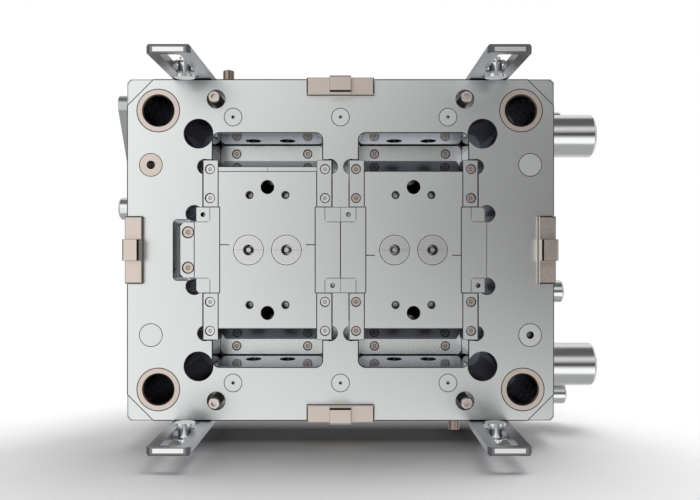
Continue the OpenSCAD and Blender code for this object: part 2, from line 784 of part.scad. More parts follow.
module ejector_plate() {
    color(steel) in_frame() difference() {
        plain_plate(2 * ejector_half_x, 2 * ejector_half_z, retainer_back_y, ejector_back_y);
        four_ways() {
            rod_y(ejector_pin_x, ejector_pin_z, retainer_back_y - over, ejector_back_y + over,
                ejector_pin_d / 2 + ejector_bush_wall + seat_play);
            rod_y(ejector_bolt_x, ejector_bolt_z, retainer_back_y - over, ejector_back_y + over,
                large_shank_d / 2 + pass_play);
            rod_y(ejector_bolt_x, ejector_bolt_z, ejector_back_y - large_head_t - over,
                ejector_back_y + over, large_head_d / 2 + 1);
        }
        at_stations() for (side = [-1, 1])
            rod_y(side * cavity_x, 0, retainer_back_y - over, ejector_back_y + over,
                core_pin_d / 2 + pass_play);
    }
}

module return_pins() {
    color(bronze) in_frame() four_ways() difference() {
        union() {
            button(return_x, return_z, -return_proud, retainer_back_y, return_pin_d / 2, 0.8);
            rod_y(return_x, return_z, retainer_back_y - pin_head_t, retainer_back_y,
                (return_pin_d + pin_head_step) / 2);
        }
        rod_y(return_x, return_z, -return_proud - over, -return_proud + 4, return_pin_d / 4);
    }
}

module core_pins() {
    color(bright) in_frame() at_stations() for (side = [-1, 1]) {
        button(side * cavity_x, 0, core_pin_set, stack_t, core_pin_d / 2, 0.6);
        rod_y(side * cavity_x, 0, stack_t - pin_head_t, stack_t, (core_pin_d + pin_head_step) / 2);
    }
}

module ejector_sleeves() {
    color(bright) in_frame() at_stations() for (side = [-1, 1])
        translate([side * cavity_x, sleeve_set, 0]) rotate([-90, 0, 0]) difference() {
            union() {
                cylinder(d = sleeve_d, h = retainer_back_y - sleeve_set);
                translate([0, 0, retainer_back_y - sleeve_set - pin_head_t])
                    cylinder(d = sleeve_d + pin_head_step, h = pin_head_t);
            }
            translate([0, 0, -over])
                cylinder(r = core_pin_d / 2 + slide_play, h = retainer_back_y - sleeve_set + 2 * over);
        }
}

module ejector_guide_pins() {
    color(bright) in_frame() four_ways()
        rod_y(ejector_pin_x, ejector_pin_z, spacer_y - 20, clamp_y + 20, ejector_pin_d / 2);
}

module ejector_guide_bushes() {
    color(bronze) in_frame() four_ways() difference() {
        rod_y(ejector_pin_x, ejector_pin_z, retainer_y, ejector_back_y,
            ejector_pin_d / 2 + ejector_bush_wall);
        rod_y(ejector_pin_x, ejector_pin_z, retainer_y - over, ejector_back_y + over,
            ejector_pin_d / 2 + slide_play);
    }
}

module ejector_bolts() {
    color(dark_steel) in_frame() four_ways()
        translate([ejector_bolt_x, ejector_back_y - 1, ejector_bolt_z]) mirror([0, 1, 0])
            socket_screw(large_head_d, large_head_t, large_shank_d, ejector_t - 1 + 10);
}

module stop_discs() {
    color(steel) in_frame() for (x = [-stop_x, 0, stop_x], z = [-stop_z, stop_z])
        rod_y(x, z, clamp_y - stop_t, clamp_y, stop_d / 2);
}

module clamp_bolts() {
    color(dark_steel) in_frame() four_ways() for (z = [clamp_bolt_z1, clamp_bolt_z2])
        translate([clamp_bolt_x, stack_t - 1, z]) mirror([0, 1, 0])
            socket_screw(clamp_head_d, clamp_head_t, clamp_shank_d, stack_t - 1 - clamp_bolt_tip_y);
}

// One split drawn as an upper one; step is above 0 where its outer ends are cut back
module split_shape(step, land) {
    mate = face_play / 3;
    difference() {
        union() {
            along_x(-nose_half, nose_half)
                polygon([[0, mate], [0, side_lock_z + over], [split_t - face_play, side_lock_z + over],
                    [split_t - face_play, mate]]);
            along_x(-split_half, split_half) split_side(side_lock_z + 0.4, land);
            block(-tongue_half, tongue_half, tongue_y, split_t - face_play, side_lock_z + 0.6,
                tongue_end);
            if (step < 0) both_sides()
                block(nose_half - split_step_w, nose_half, 0, split_t - face_play, step + mate, over);
        }
        if (step > 0) both_sides()
            block(nose_half - split_step_w - face_play / 2, nose_half + over, -over, split_t,
                -over, step + mate);
        for (side = [-1, 1]) {
            button_cut(side * cavity_x, 0, ring_t, ring_d / 2 + seat_play, 0.3);
            rod_y(side * cavity_x, 0, 0, split_t + over, cavity_d / 2);
            button_cut(side * lug_hole_x, lug_hole_z, lug_hole_t, lug_hole_d / 2, lug_hole_break);
            bar_z(side * split_half, side_lock_z, split_back + over);
            bar_z(side * nose_half, -split_step - over, side_lock_z);
        }
        both_sides() bar_x(nose_half - split_step_w, nose_half + over, step + mate);
        bar_x(-split_half - over, split_half + over, split_back);
        if (land > 0) translate([0, land_t, 0])
            bar_x(-split_half - over, split_half + over, split_back + land);
        translate([0, 0, angle_pin_z]) rotate([-90 + pin_angle, 0, 0])
            translate([0, 0, -10]) cylinder(d = angle_pin_d, h = split_t + 30);
        if (land > 0)
            block(-0.25, 0.25, -over, land_t + 1.5, split_back, split_back + 2 * land);
    }
}

// Side outline of a split from its inner end to its sloped back
module split_side(z0, land) {
    y1 = split_t - face_play;
    back = split_back + split_t * tan(heel_angle);
    if (land > 0)
        polygon([[0, z0], [0, split_back], [land_t, split_back], [land_t, split_back + land],
            [y1, back], [y1, z0]]);
    else
        polygon([[0, z0], [0, split_back], [y1, back], [y1, z0]]);
}

module ring_pair() {
    intersection() {
        for (side = [-1, 1]) difference() {
            button(side * cavity_x, 0, 0, ring_t - seat_play, ring_d / 2, 0.5);
            rod_y(side * cavity_x, 0, -over, ring_t + over, cavity_d / 2);
        }
        block(-ring_d - cavity_x, ring_d + cavity_x, -over, ring_t + over, face_play / 3, ring_d);
    }
}

module split_upper_left() {
    color(steel) in_frame() translate([-station_x, 0, 0]) split_shape(split_step, split_land);
}

module split_lower_left() {
    color(steel) in_frame() translate([-station_x, 0, 0]) mirror([0, 0, 1])
        split_shape(-split_step, 0);
}

module split_upper_right() {
    color(steel) in_frame() translate([station_x, 0, 0]) split_shape(-split_step, 0);
}

module split_lower_right() {
    color(steel) in_frame() translate([station_x, 0, 0]) mirror([0, 0, 1])
        split_shape(split_step, 0);
}

module neck_rings_upper_left() {
    color(bright) in_frame() translate([-station_x, 0, 0]) ring_pair();
}

module neck_rings_lower_left() {
    color(bright) in_frame() translate([-station_x, 0, 0]) mirror([0, 0, 1]) ring_pair();
}

module neck_rings_upper_right() {
    color(bright) in_frame() translate([station_x, 0, 0]) ring_pair();
}

module neck_rings_lower_right() {
    color(bright) in_frame() translate([station_x, 0, 0]) mirror([0, 0, 1]) ring_pair();
}

// One gib rail, drawn on the right of an upper split
module gib_rail() {
    difference() {
        along_y(0, pocket_t)
            polygon([[gib_in, side_lock_z + face_play], [gib_out, side_lock_z + face_play],
                [gib_out, gib_end_z], [gib_in, gib_end_z]]);
        block(gib_in - over, tongue_half + face_play, tongue_y - face_play, pocket_t + over,
            0, gib_end_z + over);
        face_edges(gib_in, gib_out, side_lock_z + face_play, gib_end_z);
        for (z = [gib_screw_z1, gib_screw_z2])
            translate([gib_screw_x, 0, z])
                screw_seat(small_head_d, small_head_t + 0.5, small_shank_d, pocket_t);
    }
}

module gib_rails_left() {
    color(steel) in_frame() translate([-station_x, 0, 0]) four_ways() gib_rail();
}

module gib_rails_right() {
    color(steel) in_frame() translate([station_x, 0, 0]) four_ways() gib_rail();
}

module gib_screw_places() {
    at_stations() four_ways() for (z = [gib_screw_z1, gib_screw_z2])
        translate([gib_screw_x, 0, z]) children();
}

module gib_screws() {
    color(bronze) in_frame() gib_screw_places() translate([0, 0.5, 0])
        socket_screw(small_head_d, small_head_t, small_shank_d, pocket_t + gib_screw_grip);
}

// One side lock between two X positions, with notches for the corner keys
module side_lock(x0, x1, key0, key1) {
    difference() {
        block(x0, x1, 0, pocket_t, -side_lock_z, side_lock_z);
        face_edges(x0, x1, -side_lock_z, side_lock_z);
        up_and_down() along_y(-over, key_t + face_play)
            round_rect(key0 - face_play, key1 + face_play, key_z - face_play,
                side_lock_z + 2 * key_r, key_r);
    }
}

module outer_side_lock() {
    side_lock(outer_lock_x, side_lock_x, key_x, side_lock_x + 3 * key_r);
    difference() {
        block(side_lock_x - over, side_lock_x + side_lock_step, 0, pocket_t, -key_z, key_z);
        bar_z(side_lock_x + side_lock_step, -key_z - over, key_z + over);
    }
}

module side_lock_outer_left() {
    color(steel) in_frame() mirror([1, 0, 0]) outer_side_lock();
}

module side_lock_outer_right() {
    color(steel) in_frame() outer_side_lock();
}

module side_lock_inner_left() {
    color(steel) in_frame() side_lock(-inner_lock_x, -face_play / 2, -key_mid_w, 3 * key_r);
}

module side_lock_inner_right() {
    color(steel) in_frame() side_lock(face_play / 2, inner_lock_x, -3 * key_r, key_mid_w);
}

module corner_key(x0, x1, r_side, bevelled) {
    difference() {
        along_y(0, key_t) difference() {
            union() {
                round_rect(x0, x1, key_z, side_lock_z + 2 * key_r, key_r);
                if (r_side) translate([x1 - 2 * key_r, key_z]) square([2 * key_r, 3 * key_r]);
            }
            translate([x0 - over, side_lock_z]) square([x1 - x0 + 2 * over, 3 * key_r]);
            if (bevelled) translate([x1, side_lock_z]) rotate(45)
                square(key_bevel * sqrt(2), center = true);
        }
        face_edges(x0, x1, key_z, side_lock_z);
    }
}

module corner_keys() {
    color(steel) in_frame() {
        for (way = [[1, 0, false], [0, 1, false], [1, 1, true], [0, 0, true]])
            mirror([way[0], 0, 0]) mirror([0, 0, way[1]]) difference() {
                corner_key(key_x, side_lock_x - face_play / 2, true, way[2]);
                if (!way[2]) rod_y(key_hole_x, key_hole_z, -over, key_t + over, key_hole_d / 2);
            }
        for (level = [0, 1]) mirror([level, 0, 0]) mirror([0, 0, level]) difference() {
            corner_key(-key_mid_w, key_mid_w, false, false);
            rod_y(key_mid_hole_x, key_hole_z, -over, key_t + over, key_hole_d / 2);
        }
    }
}

wedge_in_x = side_lock_x + side_lock_step;
wedge_screw_z = 20.7;

module wedge_screw_places() {
    for (side = [-1, 1]) translate([-wedge_in_x - wedge_w / 2 + 1, 0, side * wedge_screw_z]) children();
}

module wedge_block() {
    color(steel) in_frame() difference() {
        along_y(0, wedge_seat_t) difference() {
            translate([-wedge_in_x - wedge_w, -wedge_h / 2]) square([wedge_w, wedge_h]);
            for (side = [-1, 1])
                translate([-wedge_in_x - wedge_w, side * wedge_h / 2]) rotate(45)
                    square(wedge_bevel * sqrt(2), center = true);
        }
        along_x(-wedge_in_x - wedge_w - over, -wedge_in_x + over)
            polygon([[wedge_t, -wedge_h], [wedge_seat_t + over, -wedge_h],
                [wedge_seat_t + over, -wedge_h / 2 + 12], [wedge_t, -wedge_h / 2 + 12]]);
        face_edges(-wedge_in_x - wedge_w, -wedge_in_x, -wedge_h / 2, wedge_h / 2);
        wedge_screw_places() screw_seat(large_head_d, large_head_t + 0.5, large_shank_d, wedge_seat_t);
    }
}

module wedge_screws() {
    color(bronze) in_frame() wedge_screw_places() translate([0, 0.5, 0])
        socket_screw(large_head_d, large_head_t, large_shank_d, wedge_seat_t + 22);
}

module wear_screw_places() {
    at_stations() up_and_down() for (side = [-1, 1], z = [wear_screw_z, wear_inner_screw_z])
        translate([side * wear_screw_x, 0, z]) children();
}

wear_inner_screw_z = 40;
wear_y = pocket_t - wear_t;
wear_half = channel_half - 0.4;

module wear_plates() {
    color(steel) in_frame() difference() {
        at_stations() up_and_down() difference() {
            along_y(wear_y, pocket_t)
                round_rect(-wear_half, wear_half, wear_z, wear_edge_z, wedge_pocket_r - 1.5);
            for (side = [0, 1]) mirror([side, 0, 0]) {
                block(tongue_half, wear_half + over, wear_y - over, pocket_t + over, wear_z - over,
                    gib_end_z + gib_gap);
                block(nose_half, wear_half + over, wear_y - over, pocket_t + over, wear_z - over,
                    side_lock_z + 2 * face_play);
            }
            translate([0, 0, angle_pin_z]) rotate([-90 + pin_angle, 0, 0])
                translate([0, 0, -10]) cylinder(d = angle_pin_d + 3, h = 2 * pocket_t);
        }
        wear_screw_places() translate([0, wear_y, 0])
            screw_seat(small_head_d, small_head_t, small_shank_d, wear_t);
    }
}

module wear_plate_screws() {
    color(bronze) in_frame() wear_screw_places() translate([0, wear_y + 0.2, 0])
        socket_screw(small_head_d, small_head_t - 0.4, small_shank_d, wear_t + wear_screw_grip);
}

// Stands an interlock's own frame at each edge; X runs along the edge and Z out of it
module interlock_places() {
    for (turn = [0, 90, 180, 270]) interlock_at(turn) children();
}

module interlock_at(turn) {
    reach = (turn == 0 || turn == 180) ? plate_h / 2 : plate_w / 2;
    rotate([0, turn, 0]) translate([0, 0, reach]) children();
}

module interlock_seat_cut() {
    block(-interlock_w / 2 - interlock_gap, interlock_w / 2 + interlock_gap, -over,
        interlock_relief_t, -interlock_h - interlock_gap, over);
    block(-interlock_w / 2 - face_play, interlock_w / 2 + face_play, 0,
        interlock_seat + face_play, -interlock_h - face_play, over);
    for (side = [-1, 1])
        translate([side * interlock_screw, interlock_seat / 2, -interlock_h - 20])
            cylinder(d = small_shank_d + 2 * seat_play, h = 30);
}

module interlock(turn) {
    color(bronze) in_frame() interlock_at(turn) difference() {
        union() {
            along_x(-interlock_w / 2, interlock_w / 2)
                polygon([[-interlock_proud, -interlock_h], [-interlock_proud, -1],
                    [-interlock_proud + 1, 0], [interlock_seat, 0], [interlock_seat, -interlock_h]]);
            along_x(-tongue_len / 2, tongue_len / 2)
                polygon([[-tongue_proud, -interlock_h + 2], [-tongue_proud, -2],
                    [-tongue_proud + 2, 0], [0, 0], [0, -interlock_h], [-tongue_proud + 2, -interlock_h]]);
        }
        for (side = [-1, 1]) translate([side * interlock_screw, interlock_seat / 2, 0]) {
            translate([0, 0, -small_head_t - 1]) cylinder(d = small_head_d + 2 * pass_play, h = 20);
            translate([0, 0, -30]) cylinder(d = small_shank_d + 2 * seat_play, h = 40);
        }
    }
}

module interlock_top() {
    interlock(0);
}

module interlock_right() {
    interlock(90);
}

module interlock_bottom() {
    interlock(180);
}

module interlock_left() {
    interlock(270);
}

module interlock_screws() {
    color(dark_steel) in_frame() interlock_places() for (side = [-1, 1])
        translate([side * interlock_screw, interlock_seat / 2, -1]) rotate([-90, 0, 0])
            socket_screw(small_head_d, small_head_t, small_shank_d, interlock_h + 17);
}

module rest_buttons() {
    color(steel) in_frame() difference() {
        for (x = [-button_x, 0, button_x], z = [-button_z, button_z])
            button(x, z, 0, button_t, button_d / 2);
        for (x = [-button_x, 0, button_x], z = [-button_z, button_z])
            rod_y(x, z, -over, button_t - 2, button_hole_d / 2);
    }
}

module support_pads() {
    color(steel) in_frame() difference() {
        for (place = [[-1, -1], [1, -1], [1, 1]])
            button(place[0] * pad_x, place[1] * pad_z, 0, button_t, pad_d / 2);
        rod_y(pad_x, -pad_z, -over, button_t + over, pad_hole_d / 2);
    }
}

module air_bush() {
    color(bronze) in_frame() difference() {
        button(-pad_x, pad_z, 0, button_t, pad_d / 2);
        rod_y(-pad_x, pad_z, -over, button_t + over, air_bore / 2);
    }
}

strap_screw_y = backing_y + backing_t / 2;
strap_screw_x = 12;
strap_screw_grip = 22;
strap_rear_y = spacer_y;

module strap_screw_places() {
    four_ways() for (side = [-1, 1])
        translate([strap_x + side * strap_screw_x, strap_screw_y, plate_h / 2]) children();
}

module limit_strap() {
    translate([0, 0, plate_h / 2]) difference() {
        intersection() {
            along_y(-strap_reach, strap_rear_y)
                polygon([[-strap_w / 2, 0], [strap_w / 2, 0], [strap_w / 2, strap_t - strap_bevel],
                    [strap_w / 2 - strap_bevel, strap_t], [-strap_w / 2 + strap_bevel, strap_t],
                    [-strap_w / 2, strap_t - strap_bevel]]);
            along_x(-strap_w, strap_w)
                polygon([[-strap_reach, 0], [-strap_reach, strap_t - strap_bevel],
                    [-strap_reach + strap_bevel, strap_t], [strap_rear_y, strap_t], [strap_rear_y, 0]]);
            linear_extrude(strap_t)
                polygon([[-strap_w / 2, strap_rear_y], [-strap_w / 2, -strap_reach + strap_corner],
                    [-strap_w / 2 + strap_corner, -strap_reach],
                    [strap_w / 2 - strap_corner, -strap_reach],
                    [strap_w / 2, -strap_reach + strap_corner], [strap_w / 2, strap_rear_y]]);
        }
        translate([0, 0, -over]) linear_extrude(strap_t + 2 * over)
            round_rect(-slot_w / 2, slot_w / 2, -strap_reach + slot_end, -slot_stop, slot_r);
        for (side = [-1, 1]) translate([side * strap_screw_x, strap_screw_y, -over])
            cylinder(d = large_shank_d + 2 * pass_play, h = strap_t + 2 * over);
    }
}

module limit_straps() {
    color(bright) in_frame() four_ways() translate([strap_x, 0, 0]) limit_strap();
}

module strap_screws() {
    color(dark_steel) in_frame() strap_screw_places() translate([0, 0, strap_t + large_head_t])
        rotate([-90, 0, 0])
            socket_screw(large_head_d, large_head_t, large_shank_d,
                strap_t + large_head_t + strap_screw_grip - 1);
}

// Bolt that rides in a strap's slot between its flange and its washer
module limit_bolt() {
    top = strap_t + 2 * face_play;
    translate([strap_x, -limit_rest, plate_h / 2]) difference() {
        union() {
            translate([0, 0, -limit_flange_set]) cylinder(d = limit_flange_d, h = limit_flange_t);
            translate([0, 0, -limit_flange_set]) cylinder(d = limit_shank_d, h = limit_flange_set + top);
            translate([0, 0, top]) cylinder(d = limit_washer_d, h = limit_washer_t);
            translate([0, 0, top]) cylinder(d = limit_head_d, h = limit_washer_t + limit_head_t);
        }
        translate([0, 0, top + limit_washer_t + limit_head_t / 3])
            cylinder(d = limit_head_d * socket_share, h = limit_head_t, $fn = 6);
    }
}

module limit_bolt_top_right() {
    color(bright) in_frame() limit_bolt();
}

module limit_bolt_top_left() {
    color(bright) in_frame() mirror([1, 0, 0]) limit_bolt();
}

module limit_bolt_bottom_right() {
    color(bright) in_frame() mirror([0, 0, 1]) limit_bolt();
}

module limit_bolt_bottom_left() {
    color(bright) in_frame() mirror([1, 0, 0]) mirror([0, 0, 1]) limit_bolt();
}

transport_thread_d = 10;
transport_thread_t = 12;
transport_neck_d = 12;
transport_head_d = 18;
transport_head_t = 7;
transport_end_r = 9.5;
transport_gap = 1;
web_set = 0.1;

// Tapered link with round ends, hung on its bolt and stowed down along the side
module transport_strap() {
    x0 = -plate_w / 2 - transport_gap - transport_t;
    color(steel) in_frame() translate([0, transport_y, transport_z])
        rotate([transport_slope, 0, 0]) difference() {
            along_x(x0, x0 + transport_t) {
                circle(transport_r);
                translate([0, -transport_len]) circle(transport_end_r);
                polygon([[transport_r - web_set, 0], [web_set - transport_r, 0],
                    [web_set - transport_end_r, -transport_len],
                    [transport_end_r - web_set, -transport_len]]);
            }
            translate([x0 - over, 0, 0]) rotate([0, 90, 0])
                cylinder(d = transport_neck_d + 2 * slide_play, h = transport_t + 2 * over);
            translate([x0 - over, 0, 0]) rotate([0, 90, 0])
                cylinder(d = transport_head_d + 2 * pass_play, h = over + transport_head_t + face_play);
            translate([x0 - over, 0, -transport_len]) rotate([0, 90, 0])
                cylinder(d = transport_thread_d, h = transport_t + 2 * over);
        }
}

// Shoulder bolt whose head lies in the strap's counterbore
module transport_strap_bolt() {
    neck = transport_gap + transport_t - transport_head_t;
    color(bright) in_frame() translate([-plate_w / 2, transport_y, transport_z])
        rotate([0, -90, 0]) difference() {
            union() {
                translate([0, 0, -transport_thread_t])
                    cylinder(d = transport_thread_d, h = transport_thread_t + over);
                cylinder(d = transport_neck_d, h = neck);
                cylinder(d = transport_neck_d + 6, h = transport_gap - 2 * face_play);
                translate([0, 0, neck]) cylinder(d = transport_head_d, h = transport_head_t - 0.5);
            }
            translate([0, 0, neck + transport_head_t / 2])
                cylinder(d = transport_head_d * socket_share, h = transport_head_t, $fn = 6);
        }
}

foot_screw_d = 12;
foot_screw_reach = 14;
foot_head_d = 18;
foot_sink_d = foot_head_d + 4;
foot_sink_t = 15;

module foot_places() {
    for (side = [-1, 1]) translate([plate_w / 2, foot_y, side * foot_z]) children();
}

module support_feet() {
    color(bright) in_frame() foot_places() rotate([0, 90, 0]) difference() {
        rotate_extrude()
            polygon([[0, 0], [foot_d / 2, 0], [foot_d / 2, foot_len - 3], [foot_d / 2 - 3, foot_len],
                [0, foot_len]]);
        translate([0, 0, -over]) cylinder(d = foot_screw_d + 2 * pass_play, h = foot_len + 2 * over);
        translate([0, 0, foot_len - foot_sink_t]) cylinder(d = foot_sink_d, h = foot_sink_t + over);
    }
}

module foot_bolts() {
    color(dark_steel) in_frame() foot_places() translate([foot_len - 2, 0, 0]) rotate([0, 0, 90])
        socket_screw(foot_head_d, foot_sink_t - 2, foot_screw_d, foot_len + foot_screw_reach - 4);
}

coupling_thread_d = 13;
coupling_seat = 14;

module coupling_thread(row) {
    translate([row[0] * plate_w / 2, row[1], row[2]]) rotate([0, row[0] * 90, 0])
        translate([0, 0, -coupling_seat - 1])
            cylinder(d = coupling_thread_d + 2 * seat_play, h = coupling_seat + 1 + over);
}

// Cooling coupling: a threaded end, a short collar and a round body with an open mouth
module cooling_couplings() {
    color(bright) in_frame() for (row = coupling_rows())
        translate([row[0] * plate_w / 2, row[1], row[2]]) rotate([0, row[0] * 90, 0])
            rotate_extrude()
                polygon([[4, -coupling_seat], [coupling_thread_d / 2, -coupling_seat],
                    [coupling_thread_d / 2, 0], [coupling_d / 2 - 2.5, 0], [coupling_d / 2 - 2.5, 3],
                    [coupling_d / 2, 4], [coupling_d / 2, row[3] - 2], [coupling_d / 2 - 2, row[3]],
                    [8, row[3]], [8, row[3] - 12], [4, row[3] - 14]]);
}

nipple_seat = 12;

module air_nipples() {
    color(bronze) in_frame() for (side = [-1, 1])
        translate([side * nipple_x, nipple_y, -side * plate_h / 2]) mirror([0, 0, side > 0 ? 1 : 0])
            rotate_extrude()
                polygon([[2.5, -nipple_seat + 1], [nipple_d / 2 - 2, -nipple_seat + 1],
                    [nipple_d / 2 - 2, 0], [nipple_d / 2, 0], [nipple_d / 2, nipple_len - 1],
                    [nipple_d / 2 - 1, nipple_len], [2.5, nipple_len]]);
}

split_plate();
backing_plate();
spacer_block_left();
spacer_block_right();
clamp_plate();
retainer_plate();
ejector_plate();
guide_bushes();
return_pins();
core_pins();
ejector_sleeves();
ejector_guide_pins();
ejector_guide_bushes();
stop_discs();
split_upper_left();
split_lower_left();
split_upper_right();
split_lower_right();
neck_rings_upper_left();
neck_rings_lower_left();
neck_rings_upper_right();
neck_rings_lower_right();
gib_rails_left();
gib_rails_right();
gib_screws();
side_lock_outer_left();
side_lock_inner_left();
side_lock_inner_right();
side_lock_outer_right();
corner_keys();
wedge_block();
wedge_screws();
wear_plates();
wear_plate_screws();
interlock_top();
interlock_bottom();
interlock_left();
interlock_right();
interlock_screws();
rest_buttons();
support_pads();
air_bush();
limit_straps();
strap_screws();
limit_bolt_top_left();
limit_bolt_top_right();
limit_bolt_bottom_left();
limit_bolt_bottom_right();
transport_strap();
transport_strap_bolt();
support_feet();
foot_bolts();
cooling_couplings();
air_nipples();
clamp_bolts();
ejector_bolts();
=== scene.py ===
"""Looks for the moving half of a four-cavity split mould, seen straight on at its parting face."""
import math

import bmesh
import bpy
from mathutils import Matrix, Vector


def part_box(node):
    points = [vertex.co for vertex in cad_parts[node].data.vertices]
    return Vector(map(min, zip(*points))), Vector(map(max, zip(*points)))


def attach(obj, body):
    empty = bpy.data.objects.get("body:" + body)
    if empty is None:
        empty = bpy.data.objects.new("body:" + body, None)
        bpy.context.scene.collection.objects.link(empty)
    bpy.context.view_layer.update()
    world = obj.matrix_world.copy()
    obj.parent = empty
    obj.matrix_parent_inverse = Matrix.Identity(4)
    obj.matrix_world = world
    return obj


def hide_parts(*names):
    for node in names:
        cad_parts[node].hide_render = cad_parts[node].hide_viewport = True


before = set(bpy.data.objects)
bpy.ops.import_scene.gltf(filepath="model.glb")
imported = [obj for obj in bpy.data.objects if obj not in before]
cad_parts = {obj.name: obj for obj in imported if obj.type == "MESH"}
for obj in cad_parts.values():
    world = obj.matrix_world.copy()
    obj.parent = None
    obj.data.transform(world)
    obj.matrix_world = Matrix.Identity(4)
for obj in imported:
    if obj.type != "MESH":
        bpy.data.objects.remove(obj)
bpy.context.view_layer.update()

MM = 0.001
PLATE_LOW, PLATE_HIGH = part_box("split_plate")
FACE_Y = PLATE_LOW.y
FLOOR_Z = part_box("air_nipples")[0].z - 0.5 * MM

# Camera: straight on to the parting face, a metre away
CAMERA_X = 0.0111
CAMERA_DISTANCE = 1.0
CAMERA_LENS = 44.0


def mirrored(places):
    """Each (x, z) with its three mirror images."""
    return [(x * a, z * b) for x, z in places for a in (-1, 1) for b in (-1, 1)]


# Places on the parting face, in millimetres as in the drawing
STATION_X = 85.4
GIB_SCREW_X = 67.25
GIB_SCREW_ZS = (60.7, 94.6)
WEAR_SCREW_X = 44.0
WEAR_SCREW_ZS = (40.0, 119.0)
GROOVE_Z = 91.6
RING_X = 22.2
RING_R = 17.5
CORNER_R = 8.0
LUG_X = 21.0
LUG_Z = 64.3
LUG_HOLES = mirrored([(STATION_X - LUG_X, LUG_Z), (STATION_X + LUG_X, LUG_Z)])
KEY_HOLES = [(-160.75, 41.45), (160.75, -41.45), (9.2, 41.45), (-9.2, -41.45)]
PAD_HOLE = [(221.7, -99.5)]
WEDGE_SCREWS = [(-178.3, 20.7), (-178.3, -20.7)]
GIB_SCREW_DEPTH = 2.1
WEDGE_SCREW_DEPTH = 1.1
WEAR_SCREW_DEPTH = 61.8
GUIDES = [(-213.0, 163.0), (-213.0, -163.0), (213.0, -163.0), (211.0, 163.0)]

# Areas with a look of their own, in millimetres from the middle: half widths, or (low, high) bands
POCKET_X, POCKET_Z = 197.5, 138.5
INNER_X, INNER_Z = 248.5, 197.0
RELIEF_X, RELIEF_Z = (147.0, 184.0), (118.5, 154.0)
LOCK_RELIEF_X, LOCK_RELIEF_Z = (158.0, 184.0), (30.0, 57.0)
PIN_HOLE_X, PIN_HOLE_Z = (120.0, 162.0), 157.0
ANGLE_PIN_X, ANGLE_PIN_Z = 30.0, 91.0
LUG_REACH = 6.0

# Turning marks on a neck ring, in radians to a metre
RING_TURNING = 5200.0

# Base colours of the metals
STEEL = (0.715, 0.735, 0.725)
SPLIT_STEEL = (0.72, 0.74, 0.73)
TOOL_STEEL = (0.71, 0.73, 0.72)
RING_STEEL = (0.76, 0.77, 0.76)
STRAP_STEEL = (0.82, 0.83, 0.83)
ROSE = (0.65, 0.565, 0.515)
ROSE_BEIGE = (0.64, 0.56, 0.505)
PIN_ROSE = (0.78, 0.68, 0.625)
PLAIN_SCREW = (0.75, 0.76, 0.75)

# Colours of joints, gaps and the backing plate's bluish face, and painted shade on bevels, in bores
# and recesses and on polished pocket walls
# Near black: dark joint lines, and painted shade on the bevels round each outline
SEAM_AND_BEVEL_SHADE = (0.05, 0.05, 0.055)
# Polished lavender tint, darkened as painted shade for the pocket walls
SHADED_LAVENDER = (0.40, 0.415, 0.48)
BACKING_BLUE = (0.54, 0.56, 0.68)
# Painted shade: bore walls near black
BORE_SHADE = (0.026, 0.027, 0.036)
# Painted shade: a dark blue-grey for the floors of the relief bores
RELIEF_FLOOR_SHADE = (0.085, 0.088, 0.115)
# Painted shade: a flat dark grey for the side lock relief pockets
LOCK_RELIEF_SHADE = (0.24, 0.245, 0.28)


# Shader maths

class Val:
    """A number or colour socket that takes part in Python sums."""

    def __init__(self, tree, socket):
        self.tree = tree
        self.socket = socket

    def _maths(self, operation, *others, clamp=False):
        node = self.tree.nodes.new("ShaderNodeMath")
        node.operation = operation
        node.use_clamp = clamp
        for slot, value in enumerate(others):
            if isinstance(value, Val):
                self.tree.links.new(value.socket, node.inputs[slot])
            else:
                node.inputs[slot].default_value = value
        return Val(self.tree, node.outputs[0])

    def __add__(self, other):
        return self._maths("ADD", self, other)

    def __radd__(self, other):
        return self._maths("ADD", other, self)

    def __sub__(self, other):
        return self._maths("SUBTRACT", self, other)

    def __rsub__(self, other):
        return self._maths("SUBTRACT", other, self)

    def __mul__(self, other):
        return self._maths("MULTIPLY", self, other)

    def __abs__(self):
        return self._maths("ABSOLUTE", self)

    def above(self, edge, soft=0.0001):
        """0 below edge and 1 above it, over a soft width."""
        return self._maths("MULTIPLY", self - (edge - soft / 2), 1 / soft, clamp=True)

    def below(self, edge, soft=0.0001):
        return 1 - self.above(edge, soft)

    def within(self, low, high, soft=0.0001):
        return self.above(low, soft) * self.below(high, soft)

    def band(self, limits):
        """1 between two limits in millimetres."""
        return self.within(limits[0] * MM, limits[1] * MM)

    def root(self):
        return self._maths("SQRT", self)

    def sine(self):
        return self._maths("SINE", self)

    def most(self, other):
        return self._maths("MAXIMUM", self, other)

    def least(self, other):
        return self._maths("MINIMUM", self, other)


